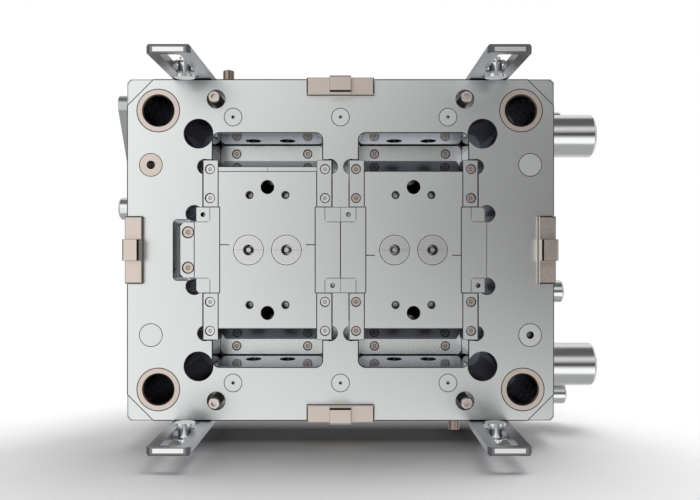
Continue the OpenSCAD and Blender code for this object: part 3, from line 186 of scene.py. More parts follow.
class Finish:
    """One material: a Principled shader and the nodes that feed it."""

    def __init__(self, name, colour, roughness, metallic=1.0, **constants):
        self.material = bpy.data.materials.new(name)
        self.material.use_nodes = True
        self.tree = self.material.node_tree
        self.shader = self.tree.nodes["Principled BSDF"]
        self.shader.inputs["Base Color"].default_value = (*colour, 1)
        self.shader.inputs["Roughness"].default_value = roughness
        self.shader.inputs["Metallic"].default_value = metallic
        for socket, value in constants.items():
            self.shader.inputs[socket.replace("_", " ")].default_value = value
        self.place = self.node("ShaderNodeTexCoord")

    def node(self, kind, settings=None, **values):
        made = self.tree.nodes.new(kind)
        for name, value in (settings or {}).items():
            setattr(made, name, value)
        for name, value in values.items():
            self.put(made.inputs[name.replace("_", " ")], value)
        return made

    def put(self, socket, value):
        if isinstance(value, Val):
            self.tree.links.new(value.socket, socket)
        elif isinstance(value, bpy.types.NodeSocket):
            self.tree.links.new(value, socket)
        else:
            socket.default_value = value

    def xyz(self, output="Object"):
        split = self.node("ShaderNodeSeparateXYZ", Vector=self.place.outputs[output])
        return [Val(self.tree, socket) for socket in split.outputs]

    def stretched(self, scale):
        """Object coordinates times a scale on each axis."""
        made = self.node("ShaderNodeMapping", Vector=self.place.outputs["Object"])
        made.inputs["Scale"].default_value = scale
        return made.outputs["Vector"]

    def noise(self, scale, detail=3.0, roughness=0.55, stretch=(1, 1, 1)):
        made = self.node("ShaderNodeTexNoise", Vector=self.stretched(stretch), Scale=scale,
                         Detail=detail, Roughness=roughness)
        return Val(self.tree, made.outputs["Fac"])

    def blend(self, factor, first, second):
        """Colour first where factor is 0 and second where it is 1."""
        made = self.node("ShaderNodeMix", {"data_type": "RGBA"})
        self.put(made.inputs["Factor"], factor)
        for socket, value in ((made.inputs[6], first), (made.inputs[7], second)):
            self.put(socket, (*value, 1) if isinstance(value, tuple) else value)
        return made.outputs[2]

    def colour(self, value):
        self.put(self.shader.inputs["Base Color"], value)

    def plain(self):
        """The colour that the shader has so far."""
        return self.shader.inputs["Base Color"].links[0].from_socket

    def roughness(self, value):
        self.put(self.shader.inputs["Roughness"], value)

    def bump(self, height, strength, distance):
        made = self.node("ShaderNodeBump", Height=height, Strength=strength, Distance=distance)
        self.put(self.shader.inputs["Normal"], made.outputs["Normal"])


def shaded(colour, share):
    """A colour times a share, no part of it above 1."""
    return tuple(min(1.0, part * share) for part in colour)


def front_face(facing):
    """1 on faces parallel to the parting face and looking out of it."""
    return facing.below(-0.9, 0.05)


def flank(facing):
    """1 on faces square to the parting face."""
    return abs(facing).below(0.2, 0.05)


def brushed(finish, along=(1, 1, 16)):
    """Fine lines one way and a trace of cloud, both about 0.5."""
    lines = finish.noise(520.0, 2.0, 0.5, along)
    cloud = finish.noise(7.0, 3.0, 0.55)
    return lines, cloud


def broken_edges(finish, depth=2.6):
    """1 on the narrow bevels round a piece's outline in the parting face."""
    _, y, _ = finish.xyz()
    _, facing, _ = finish.xyz("Normal")
    return abs(facing).within(0.3, 0.96, 0.02) * (y - FACE_Y).below(depth * MM)


def ground_steel(name, colour, roughness, along=(1, 1, 16), bevel_shade=0.0, sides=1.0):
    """Ground steel: fine lines one way; a bevel share darkens its bevels and a flank share below 1
    its flanks, both as painted shade.
    """
    finish = Finish(name, colour, roughness)
    lines, cloud = brushed(finish, along)
    finish.roughness(roughness + (cloud - 0.5) * 0.06 + (lines - 0.5) * 0.08)
    shade = finish.blend(lines, shaded(colour, 0.96), shaded(colour, 1.03))
    # Painted shade: flanks square to the parting face darkened to the flank share of the colour
    if sides < 1:
        _, facing, _ = finish.xyz("Normal")
        shade = finish.blend(flank(facing), shade, shaded(colour, sides))
    # Painted shade: bevels darkened towards near black by the bevel share
    if bevel_shade > 0:
        shade = finish.blend(broken_edges(finish) * bevel_shade, shade, SEAM_AND_BEVEL_SHADE)
    finish.colour(shade)
    finish.bump(lines, 0.03, 0.0003)
    return finish


def ring_finish():
    """Neck ring: turned face with a cone of light, a painted highlight round the rim of its face,
    painted shade on its flanks and bevels, and a dark joint.
    """
    finish = Finish("neck_ring_steel", RING_STEEL, 0.24)
    x, _, z = finish.xyz()
    _, facing, _ = finish.xyz("Normal")
    side = abs(abs(x) - STATION_X * MM) - RING_X * MM
    reach = (side * side + z * z).root()
    turned = (reach * RING_TURNING).sine()
    face = front_face(facing)
    finish.bump(turned * face, 0.05, 0.0002)
    finish.roughness(0.24 + (turned * 0.5 + 0.5) * 0.05)
    shade = finish.blend(turned * 0.5 + 0.5, shaded(RING_STEEL, 0.93), RING_STEEL)
    # Painted highlight: a lighter band round the outer rim of the face
    rim = face * reach.above((RING_R - 1.3) * MM, 0.3 * MM)
    light = finish.blend(rim, shade, (0.93, 0.93, 0.92))
    joint = face * abs(z).below(0.2 * MM, 0.2 * MM) * 0.5
    # Painted shade: the flanks near black
    walled = finish.blend(flank(facing), light, (0.05, 0.05, 0.05))
    # Painted shade on the bevels; the joint line between the ring halves is a dark joint
    finish.colour(finish.blend((broken_edges(finish) * 0.85).most(joint), walled, SEAM_AND_BEVEL_SHADE))
    return finish


def plate_finish():
    """Front plate: satin face, polished pocket walls in a darker lavender, and painted shade on its
    bevels and rounded corners, in its bores and in its relief pockets.
    """
    finish = Finish("plate_face_steel", STEEL, 0.3)
    x, y, z = finish.xyz()
    _, facing, _ = finish.xyz("Normal")
    wall = abs(facing).below(0.5, 0.1)
    depth = y - FACE_Y
    inside = depth.above(0.2 * MM, 0.2 * MM)
    pocket = abs(x).below(POCKET_X * MM, 0.2 * MM) * abs(z).below(POCKET_Z * MM, 0.2 * MM) * inside
    inner = abs(x).below(INNER_X * MM) * abs(z).below(INNER_Z * MM)
    bore = wall * inner * depth.above(0.8 * MM, 0.4 * MM)
    relief_area = abs(x).band(RELIEF_X) * abs(z).band(RELIEF_Z)
    relief = bore * relief_area
    relief_floor = (1 - wall) * inside * relief_area
    lock_relief = inside * abs(x).band(LOCK_RELIEF_X) * abs(z).band(LOCK_RELIEF_Z)
    pin_hole = abs(x).band(PIN_HOLE_X) * abs(z).above(PIN_HOLE_Z * MM) * wall
    over_x = (abs(x) - (PLATE_HIGH.x - CORNER_R * MM)).most(0.0)
    over_z = (abs(z) - (PLATE_HIGH.z - CORNER_R * MM)).most(0.0)
    rim = (over_x * over_x + over_z * over_z).root().above((CORNER_R - 1.2) * MM, 0.3 * MM)
    lines, cloud = brushed(finish)
    satin = 0.3 + (cloud - 0.5) * 0.06 + (lines - 0.5) * 0.1
    finish.roughness(satin * (1 - pocket) + pocket * 0.13)
    face = finish.blend(lines, shaded(STEEL, 0.96), shaded(STEEL, 1.03))
    # Painted shade: the rounded corners of the outline darkened, together with the bevels
    outline = rim * facing.below(-0.5, 0.1) * 0.6
    edged = finish.blend((broken_edges(finish) * 0.9).most(outline), face, SEAM_AND_BEVEL_SHADE)
    # Painted shade: the polished pocket walls in a darker copy of the lavender steel
    polished = finish.blend(pocket * wall, edged, SHADED_LAVENDER)
    # Painted shade: the side lock relief pockets dark grey
    relieved = finish.blend(lock_relief, polished, LOCK_RELIEF_SHADE)
    # Painted shade: walls of the bores and relief bores near black
    dark = (bore * (1 - pocket)).most(relief) * (1 - pin_hole) * (1 - lock_relief)
    bored = finish.blend(dark, relieved, BORE_SHADE)
    # Painted shade: the floors of the relief bores dark blue-grey
    finish.colour(finish.blend(relief_floor, bored, RELIEF_FLOOR_SHADE))
    finish.bump(lines * (1 - pocket), 0.03, 0.0003)
    return finish


def split_finish():
    """Split: satin face, a polished heel painted near black as shade, painted shade on its flanks,
    in its angle-pin bore and tapped holes and on the bevels round it, and drawn lines.
    """
    finish = Finish("split_tool_steel", SPLIT_STEEL, 0.31, Specular_Tint=(0.5, 0.5, 0.52, 1))
    x, y, z = finish.xyz()
    _, facing, _ = finish.xyz("Normal")
    from_middle = abs(abs(x) - STATION_X * MM)
    wall = flank(facing)
    front = front_face(facing)
    heel = abs(facing).within(0.2, 0.36, 0.02)
    pin_bore = from_middle.below(ANGLE_PIN_X * MM) * abs(z).below(ANGLE_PIN_Z * MM) * wall
    deep = (y - FACE_Y).above(0.5 * MM)
    lines, cloud = brushed(finish)
    satin = 0.31 + (cloud - 0.5) * 0.05 + (lines - 0.5) * 0.08
    finish.roughness(satin * (1 - heel) + heel * 0.07)
    face = finish.blend(lines, shaded(SPLIT_STEEL, 0.97), shaded(SPLIT_STEEL, 1.02))
    # Painted shade: flanks darkened
    sided = finish.blend(wall, face, (0.30, 0.31, 0.33))
    # Painted shade: the angle-pin bore near black
    bored = finish.blend(pin_bore * deep, sided, (0.02, 0.021, 0.02))
    # Painted shade: the polished heel face near black, so it shows as a dark mirror
    heeled = finish.blend(heel, bored, (0.12, 0.12, 0.135))
    lug_x = abs(from_middle - LUG_X * MM).below(LUG_REACH * MM)
    lug_z = abs(abs(z) - LUG_Z * MM).below(LUG_REACH * MM)
    # Painted shade: walls of the tapped lug holes near black
    tapped = finish.blend(wall * lug_x * lug_z, heeled, (0.10, 0.10, 0.105))
    groove = abs(abs(z) - GROOVE_Z * MM).below(0.35 * MM, 0.3 * MM)
    split_line = from_middle.below(0.25 * MM, 0.2 * MM) * abs(z).above(GROOVE_Z * MM)
    drawn = groove.most(split_line) * front * 0.75
    # Painted shade on the bevels round the outline; the groove and split lines are drawn dark lines
    finish.colour(finish.blend((broken_edges(finish) * 0.85).most(drawn), tapped, SEAM_AND_BEVEL_SHADE))
    finish.bump(lines * (1 - heel), 0.02, 0.0003)
    return finish


def backing_finish():
    """Backing plate: bluish where it closes the bores of the front plate."""
    finish = ground_steel("backing_plate_steel", STEEL, 0.36)
    _, facing, _ = finish.xyz("Normal")
    finish.colour(finish.blend(front_face(facing), finish.plain(), BACKING_BLUE))
    return finish


def key_finish():
    """Corner key: ground steel with painted shade on its bevels and near-black flanks, and the
    joint line between the inner side locks carried over it.
    """
    finish = ground_steel("key_steel", TOOL_STEEL, 0.3, bevel_shade=0.85, sides=0.05)
    x, _, _ = finish.xyz()
    _, facing, _ = finish.xyz("Normal")
    joint = abs(x).below(0.3 * MM, 0.2 * MM) * front_face(facing)
    finish.colour(finish.blend(joint * 0.8, finish.plain(), SEAM_AND_BEVEL_SHADE))
    return finish


def bush_finish():
    """Guide bush: satin rose-beige ring with painted shade on its mouth chamfer, and a bore painted
    near black as shade, with plugs.
    """
    finish = Finish("bush_bronze", ROSE, 0.36)
    _, y, _ = finish.xyz()
    _, facing, _ = finish.xyz("Normal")
    bore = abs(facing).below(0.5, 0.1) * (y - FACE_Y).above(1.2 * MM, 0.5 * MM)
    grain = finish.noise(300.0, 2.0)
    finish.roughness(0.36 + (grain - 0.5) * 0.1)
    mouth = abs(facing).within(0.5, 0.9, 0.05)
    # Painted shade: the chamfered mouth darkened
    ring = finish.blend(mouth, ROSE, (0.13, 0.10, 0.085))
    # Painted shade: the bore near black
    finish.colour(finish.blend(bore, ring, (0.014, 0.012, 0.010)))
    return finish


def tempered(name, colour, roughness, bevel_shade=0.0):
    """Steel with a rose-beige temper colour; a bevel share above 0 darkens its bevels as painted
    shade.
    """
    finish = Finish(name, colour, roughness)
    grain = finish.noise(260.0, 2.0)
    cloud = finish.noise(30.0, 3.0)
    shade = finish.blend(cloud, shaded(colour, 0.96), shaded(colour, 1.04))
    # Painted shade: bevels darkened towards near black by the bevel share
    if bevel_shade > 0:
        shade = finish.blend(broken_edges(finish) * bevel_shade, shade, SEAM_AND_BEVEL_SHADE)
    finish.colour(shade)
    finish.roughness(roughness + (grain - 0.5) * 0.1)
    finish.bump(grain, 0.04, 0.0002)
    return finish


def interlock_finish():
    """Side interlock: rose-beige steel, with painted shade near black on its inward slopes as a
    dark inner slot, in end bands for the gaps at its ends and in lines beside its tongue.
    """
    finish = tempered("interlock_temper", ROSE_BEIGE, 0.32)
    x, _, z = finish.xyz()
    aside, facing, rising = finish.xyz("Normal")
    corners = [v.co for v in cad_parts["interlock_top"].data.vertices]
    front_y = min(corner.y for corner in corners)
    tongue_half = max(abs(corner.x) for corner in corners if corner.y < front_y + 0.2 * MM)
    foot_half = max(abs(corner.x) for corner in corners)
    along = abs(x).least(abs(z))
    inward = (x * aside + z * rising).below(-0.02, 0.01)
    sloped = abs(facing).within(0.15, 0.97, 0.02) * inward
    level = front_face(facing)
    # Painted shade, near black: thin lines beside the tongue, end bands for the gaps at its ends,
    # and the inward slopes
    tongue_seam_shade = abs(along - tongue_half).below(0.35 * MM, 0.2 * MM) * level * 0.6
    end_gap_shade = along.above(foot_half - 1.3 * MM, 0.2 * MM) * level * 0.95
    dark = sloped.most(tongue_seam_shade).most(end_gap_shade)
    finish.colour(finish.blend(dark, finish.plain(), (0.022, 0.018, 0.016)))
    return finish


def strap_finish():
    """Limit strap: bright end panel, with painted shade on the bevel frame round it and on its
    flanks, darkest on the flanks next to the plate.
    """
    finish = Finish("strap_steel", STRAP_STEEL, 0.3)
    x, y, z = finish.xyz()
    aside, facing, _ = finish.xyz("Normal")
    near_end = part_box("limit_straps")[0].y + 0.2 * MM
    tips = [v.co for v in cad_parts["limit_straps"].data.vertices if v.co.y < near_end]
    ends = [Vector([pick(abs(tip[i]) for tip in tips) for i in range(3)]) for pick in (min, max)]
    lines, cloud = brushed(finish, (16, 1, 16))
    finish.roughness(0.3 + (cloud - 0.5) * 0.06 + (lines - 0.5) * 0.08)
    wall = flank(facing)
    # Painted shade: flanks facing up or down grey, darkening to near black towards the plate;
    # flanks facing sideways a darker grey
    near = (FACE_Y - y).below(12 * MM, 50 * MM)
    side = finish.blend(near, (0.44, 0.45, 0.50), (0.11, 0.112, 0.13))
    face = finish.blend(lines, shaded(STRAP_STEEL, 0.96), shaded(STRAP_STEEL, 1.03))
    sided = finish.blend(wall, face, side)
    narrow = finish.blend(wall * abs(aside).above(0.5, 0.1), sided, (0.25, 0.255, 0.28))
    # Painted shade: the bevel frame round the end panel darkened
    panel_x = abs(x).within(ends[0].x + 2.8 * MM, ends[1].x - 2.8 * MM, 0.3 * MM)
    panel_z = abs(z).within(ends[0].z + 1.2 * MM, ends[1].z - 1.2 * MM, 0.3 * MM)
    rim = (1 - panel_x * panel_z) * (1 - wall)
    finish.colour(finish.blend(rim, narrow, (0.20, 0.205, 0.215)))
    finish.bump(lines, 0.03, 0.0003)
    return finish


def pin_finish():
    """Return pin: rose-beige cap and a turned side painted dark as shade, with painted light and
    dark bands for a ridge each 8 mm.
    """
    finish = Finish("return_pin_temper", PIN_ROSE, 0.3)
    _, y, _ = finish.xyz()
    _, facing, _ = finish.xyz("Normal")
    # Painted light and shade: bands each 8 mm stand in for a ridge on the dark side
    ridge_shading = (y * (math.tau / (8 * MM))).sine() * 0.5 + 0.5
    side = finish.blend(ridge_shading, (0.075, 0.065, 0.06), (0.36, 0.32, 0.29))
    finish.colour(finish.blend(abs(facing).below(0.4, 0.1), PIN_ROSE, side))
    grain = finish.noise(260.0, 2.0)
    finish.roughness(0.3 + (grain - 0.5) * 0.1)
    return finish


def screw_finish(name, colour, split_by_station=False):
    """Screw with painted shade inside its socket; split_by_station leaves the left station's plain
    steel.
    """
    finish = Finish(name, colour, 0.3)
    x, _, _ = finish.xyz()
    recess = finish.node("ShaderNodeAttribute", {"attribute_name": "recess"})
    dark = Val(finish.tree, recess.outputs["Fac"])
    grain = finish.noise(400.0, 2.0)
    shade = finish.blend(grain, shaded(colour, 0.96), shaded(colour, 1.04))
    if split_by_station:
        shade = finish.blend(x.below(0.0), shade, PLAIN_SCREW)
    # Painted shade: the socket recess darkened
    finish.colour(finish.blend(dark * 0.25, shade, (0.045, 0.038, 0.036)))
    finish.roughness(0.3 + (grain - 0.5) * 0.08)
    return finish


# Finishes given a bevel share or a flank share below 1 get painted shade on those faces
FINISHES = {
    "plate": plate_finish(),
    "bush": bush_finish(),
    "split": split_finish(),
    "side": ground_steel("ground_plate_steel", STEEL, 0.36),
    "backing": backing_finish(),
    "link": ground_steel("link_steel", (0.50, 0.515, 0.515), 0.34, (16, 16, 1)),
    "tool": ground_steel("ground_tool_steel", TOOL_STEEL, 0.3, bevel_shade=0.85, sides=0.3),
    "key": key_finish(),
    "ring": ring_finish(),
    "strap": strap_finish(),
    "polished": ground_steel("polished_lavender_steel", (0.66, 0.68, 0.72), 0.16),
    "wear": ground_steel("wear_plate_steel", (0.74, 0.755, 0.75), 0.28, (16, 1, 1), sides=0.3),
    "bright": ground_steel("bright_turned_steel", (0.70, 0.71, 0.71), 0.2, (16, 1, 1)),
    "core": ground_steel("core_pin_steel", (0.62, 0.63, 0.63), 0.24, (1, 1, 1), sides=0.1),
    "pad": ground_steel("pad_steel", (0.72, 0.74, 0.73), 0.36, bevel_shade=0.9, sides=0.05),
    "rose_pad": tempered("rose_pad", ROSE, 0.34, bevel_shade=0.9),
    "interlock": interlock_finish(),
    "pin": pin_finish(),
    # Its own brown temper colour, darkened further as painted shade
    "nipple": tempered("brown_temper_and_shade", (0.27, 0.215, 0.185), 0.22),
    "gib_screw": screw_finish("gib_screw_steel", (0.56, 0.49, 0.455), True),
    "rose_screw": screw_finish("rose_screw_steel", (0.60, 0.53, 0.49)),
    "black": Finish("black_oxide", (0.05, 0.05, 0.055), 0.42),
    "bronze": tempered("plain_bronze", (0.62, 0.47, 0.31), 0.35),
    # Painted shade: the thread ridges deep in the tapped holes near black
    "thread": Finish("thread_shade_steel", (0.11, 0.11, 0.115), 0.22),
    "graphite": Finish("graphite", (0.055, 0.055, 0.06), 0.35, 0.0),
}

NODE_FINISH = {
    "split_plate": "plate", "guide_bushes": "bush", "backing_plate": "backing",
    "spacer_block_left": "side", "spacer_block_right": "side", "clamp_plate": "side",
    "retainer_plate": "side", "ejector_plate": "side", "core_pins": "core",
    "ejector_sleeves": "polished", "ejector_guide_pins": "bright", "ejector_guide_bushes": "bronze",
    "stop_discs": "tool", "split_upper_left": "split", "split_lower_left": "split",
    "split_upper_right": "split", "split_lower_right": "split", "neck_rings_upper_left": "ring",
    "neck_rings_lower_left": "ring", "neck_rings_upper_right": "ring",
    "neck_rings_lower_right": "ring", "gib_rails_left": "tool", "gib_rails_right": "tool",
    "gib_screws": "gib_screw", "side_lock_outer_left": "tool", "side_lock_inner_left": "tool",
    "side_lock_inner_right": "tool", "side_lock_outer_right": "tool", "corner_keys": "key",
    "wedge_block": "tool", "wedge_screws": "rose_screw", "wear_plates": "wear",
    "wear_plate_screws": "rose_screw", "interlock_top": "interlock",
    "interlock_bottom": "interlock", "interlock_left": "interlock",
    "interlock_right": "interlock", "interlock_screws": "black",
    "rest_buttons": "pad", "support_pads": "pad", "air_bush": "rose_pad", "limit_straps": "strap",
    "strap_screws": "black", "limit_bolt_top_left": "bright", "limit_bolt_top_right": "bright",
    "limit_bolt_bottom_left": "bright", "limit_bolt_bottom_right": "bright",
    "transport_strap": "link", "transport_strap_bolt": "bright", "support_feet": "bright",
    "foot_bolts": "black", "cooling_couplings": "bright", "air_nipples": "nipple",
    "return_pins": "pin", "clamp_bolts": "black", "ejector_bolts": "black",
}

for node_name, node_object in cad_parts.items():
    finish = FINISHES[NODE_FINISH[node_name]]
    node_object.data.materials.clear()
    node_object.data.materials.append(finish.material)


# Pieces grown by geometry nodes

class Growth:
    """A geometry node tree with named inputs that grows one kind of repeated piece."""

    def __init__(self, name, **inputs):
        self.tree = bpy.data.node_groups.new(name, "GeometryNodeTree")
        for way in ("INPUT", "OUTPUT"):
            self.tree.interface.new_socket("Geometry", in_out=way, socket_type="NodeSocketGeometry")
        self.values = {}
        for title, (kind, value) in inputs.items():
            socket = self.tree.interface.new_socket(title, in_out="INPUT", socket_type=kind)
            self.values[socket.identifier] = value
        self.entry = self.node("NodeGroupInput")
        self.exit = self.node("NodeGroupOutput")

    def node(self, kind, settings=None, **values):
        made = self.tree.nodes.new(kind)
        for name, value in (settings or {}).items():
            setattr(made, name, value)
        for name, value in values.items():
            socket = made.inputs[name.replace("_", " ")]
            if isinstance(value, bpy.types.NodeSocket):
                self.tree.links.new(value, socket)
            else:
                socket.default_value = value
        return made

    def given(self, title):
        return self.entry.outputs[title]

    def maths(self, operation, first, second=0.0):
        made = self.node("ShaderNodeMath", {"operation": operation})
        for socket, value in zip(made.inputs, (first, second)):
            if isinstance(value, bpy.types.NodeSocket):
                self.tree.links.new(value, socket)
            else:
                socket.default_value = value
        return made.outputs[0]

    def end(self, instances, material):
        solid = self.node("GeometryNodeRealizeInstances", Geometry=instances)
        painted = self.node("GeometryNodeSetMaterial", Geometry=solid.outputs[0], Material=material)
        self.tree.links.new(painted.outputs[0], self.exit.inputs[0])

    def grow(self, name, places):
        """The finished mesh object, grown on a bare vertex at each place."""
        seed = bpy.data.meshes.new(name + "_places")
        seed.from_pydata(places, [], [])
        carrier = bpy.data.objects.new(name + "_carrier", seed)
        bpy.context.scene.collection.objects.link(carrier)
        modifier = carrier.modifiers.new("growth", "NODES")
        modifier.node_group = self.tree
        for identifier, value in self.values.items():
            modifier[identifier] = value
        seen = carrier.evaluated_get(bpy.context.evaluated_depsgraph_get())
        mesh = bpy.data.meshes.new_from_object(seen)
        carrier.modifiers.clear()
        bpy.data.objects.remove(carrier)
        made = bpy.data.objects.new(name, mesh)
        bpy.context.scene.collection.objects.link(made)
        return made


def face_places(places, depth=0.0):
    """Points in the mould's frame from (x, z) millimetres and a depth behind the parting face."""
    return [(x * MM, FACE_Y + depth * MM, z * MM) for x, z in places]


def screw_mesh(name, head_d, head_t, bevel, socket_d, socket_t, shank_d, reach, steps=36):
    """Screw with a dimpled head: its top is at the origin and its shank runs along +Y."""
    turns = [i * math.tau / steps for i in range(steps)]
    mouth, rim, shank = socket_d / 2, head_d / 2, shank_d / 2
    profile = [(mouth - 0.9, socket_t), (mouth - 0.35, socket_t * 0.5), (mouth, 0),
               (rim - bevel, 0), (rim, bevel), (rim, head_t), (shank, head_t), (shank, reach)]
    rings = [[(radius * math.cos(turn), depth, radius * math.sin(turn)) for turn in turns]
             for radius, depth in profile]
    mesh = bmesh.new()
    recess = mesh.verts.layers.float.new("recess")
    loops = []
    for level, ring in enumerate(rings):
        loop = [mesh.verts.new([c * MM for c in point]) for point in ring]
        for vertex in loop:
            vertex[recess] = 1.0 if level < 2 else 0.0
        loops.append(loop)
    for first, second in zip(loops, loops[1:]):
        for i in range(steps):
            j = (i + 1) % steps
            mesh.faces.new((first[i], first[j], second[j], second[i]))
    mesh.faces.new(loops[0])
    mesh.faces.new(loops[-1])
    bmesh.ops.recalc_face_normals(mesh, faces=mesh.faces)
    made = bpy.data.meshes.new(name)
    mesh.to_mesh(made)
    mesh.free()
    return bpy.data.objects.new(name, made)


def screw_set(name, pattern, places, depth, material):
    """A copy of the pattern screw at each place."""
    growth = Growth(name + "_tree", Screw=("NodeSocketObject", pattern))
    screw = growth.node("GeometryNodeObjectInfo", Object=growth.given("Screw"))
    spread = growth.node("GeometryNodeInstanceOnPoints", Points=growth.given("Geometry"),
                         Instance=screw.outputs["Geometry"])
    growth.end(spread.outputs[0], material)
    return growth.grow(name, face_places(places, depth))


def thread_ridges(name, places, depth, radius, pitch, turns, material):
    """Ridges of a tapped hole: closed rings one pitch apart down each hole."""
    growth = Growth(name + "_tree", Radius=("NodeSocketFloat", radius * MM),
                    Pitch=("NodeSocketFloat", pitch * MM), Turns=("NodeSocketInt", turns),
                    Height=("NodeSocketFloat", pitch * 0.42 * MM))
    ring = growth.node("GeometryNodeCurvePrimitiveCircle", Resolution=28,
                       Radius=growth.given("Radius"))
    ridge = growth.node("GeometryNodeCurvePrimitiveCircle", Resolution=4,
                        Radius=growth.given("Height"))
    swept = growth.node("GeometryNodeCurveToMesh", Curve=ring.outputs[0],
                        Profile_Curve=ridge.outputs[0])
    turned = growth.node("GeometryNodeTransform", Geometry=swept.outputs[0],
                         Rotation=(math.pi / 2, 0, 0))
    step = growth.node("ShaderNodeCombineXYZ", Y=growth.given("Pitch"))
    row = growth.node("GeometryNodeMeshLine", Count=growth.given("Turns"), Offset=step.outputs[0])
    threads = growth.node("GeometryNodeInstanceOnPoints", Points=row.outputs[0],
                          Instance=turned.outputs[0])
    spread = growth.node("GeometryNodeInstanceOnPoints", Points=growth.given("Geometry"),
                         Instance=threads.outputs[0])
    growth.end(spread.outputs[0], material)
    return growth.grow(name, face_places(places, depth))


def graphite_plugs(name, places, depth, radius, plug, rows, around, pitch, material):
    """Plugs set flush in a guide bush's bore, in staggered rows."""
    growth = Growth(name + "_tree", Bore=("NodeSocketFloat", radius * MM),
                    Plug=("NodeSocketFloat", plug * MM), Rows=("NodeSocketInt", rows),
                    Around=("NodeSocketInt", around), Pitch=("NodeSocketFloat", pitch * MM))
    count = growth.maths("MULTIPLY", growth.given("Rows"), growth.given("Around"))
    line = growth.node("GeometryNodeMeshLine", Count=count, Offset=(0, 0, 0))
    index = growth.node("GeometryNodeInputIndex").outputs[0]
    row = growth.maths("FLOOR", growth.maths("DIVIDE", index, growth.given("Around")))
    column = growth.maths("MODULO", index, growth.given("Around"))
    stagger = growth.maths("MULTIPLY", growth.maths("MODULO", row, 2.0), 0.5)
    share = growth.maths("DIVIDE", growth.maths("ADD", column, stagger), growth.given("Around"))
    turn = growth.maths("MULTIPLY", share, math.tau)
    x = growth.maths("MULTIPLY", growth.maths("COSINE", turn), growth.given("Bore"))
    z = growth.maths("MULTIPLY", growth.maths("SINE", turn), growth.given("Bore"))
    y = growth.maths("MULTIPLY", row, growth.given("Pitch"))
    place = growth.node("ShaderNodeCombineXYZ", X=x, Y=y, Z=z)
    placed = growth.node("GeometryNodeSetPosition", Geometry=line.outputs[0],
                         Position=place.outputs[0])
    outward = growth.node("ShaderNodeCombineXYZ", X=x, Z=z)
    lean = growth.node("FunctionNodeAlignRotationToVector", {"axis": "Z"},
                       Vector=outward.outputs[0])
    disc = growth.node("GeometryNodeMeshCylinder", Vertices=16, Radius=growth.given("Plug"),
                       Depth=0.8 * MM)
    set_in = growth.node("GeometryNodeInstanceOnPoints", Points=placed.outputs[0],
                         Instance=disc.outputs["Mesh"], Rotation=lean.outputs[0])
    spread = growth.node("GeometryNodeInstanceOnPoints", Points=growth.given("Geometry"),
                         Instance=set_in.outputs[0])
    growth.end(spread.outputs[0], material)
    return growth.grow(name, face_places(places, depth))


def at_stations(places):
    """Places round a station's middle, mirrored four ways, at both stations."""
    return [(side * STATION_X + x, z) for side in (-1, 1) for x, z in mirrored(places)]


GIB_SCREWS = at_stations([(GIB_SCREW_X, level) for level in GIB_SCREW_ZS])
WEAR_SCREWS = at_stations([(WEAR_SCREW_X, level) for level in WEAR_SCREW_ZS])

small_screw = screw_mesh("small_screw", head_d=10.5, head_t=4.4, bevel=0.5, socket_d=4.6,
                         socket_t=0.9, shank_d=6.0, reach=84.0)
wear_screw = screw_mesh("wear_screw", head_d=10.5, head_t=5.0, bevel=0.9, socket_d=5.0,
                        socket_t=1.0, shank_d=6.0, reach=20.0)
large_screw = screw_mesh("large_screw", head_d=13.0, head_t=7.4, bevel=0.7, socket_d=5.2,
                         socket_t=1.2, shank_d=8.0, reach=60.0)

gib_screws = screw_set("gib_socket_screws", small_screw, GIB_SCREWS, GIB_SCREW_DEPTH,
                       FINISHES["gib_screw"].material)
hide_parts("gib_screws")
wedge_screws = screw_set("wedge_socket_screws", large_screw, WEDGE_SCREWS, WEDGE_SCREW_DEPTH,
                         FINISHES["rose_screw"].material)
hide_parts("wedge_screws")
wear_screws = screw_set("wear_socket_screws", wear_screw, WEAR_SCREWS, WEAR_SCREW_DEPTH,
                        FINISHES["rose_screw"].material)
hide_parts("wear_plate_screws")
for piece in (gib_screws, wedge_screws, wear_screws):
    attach(piece, "mould")

key_threads = thread_ridges("key_hole_threads", KEY_HOLES, depth=1.2, radius=2.9, pitch=1.0,
                            turns=10, material=FINISHES["thread"].material)
pad_threads = thread_ridges("pad_hole_threads", PAD_HOLE, depth=1.4, radius=4.5, pitch=1.25,
                            turns=9, material=FINISHES["thread"].material)
bush_plugs = graphite_plugs("bush_graphite_plugs", GUIDES, depth=9.0, radius=17.6, plug=3.2,
                            rows=10, around=8, pitch=11.5,
                            material=FINISHES["graphite"].material)
for piece in (key_threads, pad_threads, bush_plugs):
    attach(piece, "mould")
SPLIT_BODIES = {(-1, 1): "upper_left", (-1, -1): "lower_left", (1, 1): "upper_right",
                (1, -1): "lower_right"}
for (side, level), body in SPLIT_BODIES.items():
    holes = [(x, z) for x, z in LUG_HOLES if x * side > 0 and z * level > 0]
    threads = thread_ridges("lug_threads_" + body, holes, depth=2.4, radius=3.75, pitch=1.2,
                            turns=10, material=FINISHES["thread"].material)
    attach(threads, body)


# Studio

DARK_MIDDLE_X, DARK_MIDDLE_Z = 0.33, 0.05
BRIGHTEST = 1.42


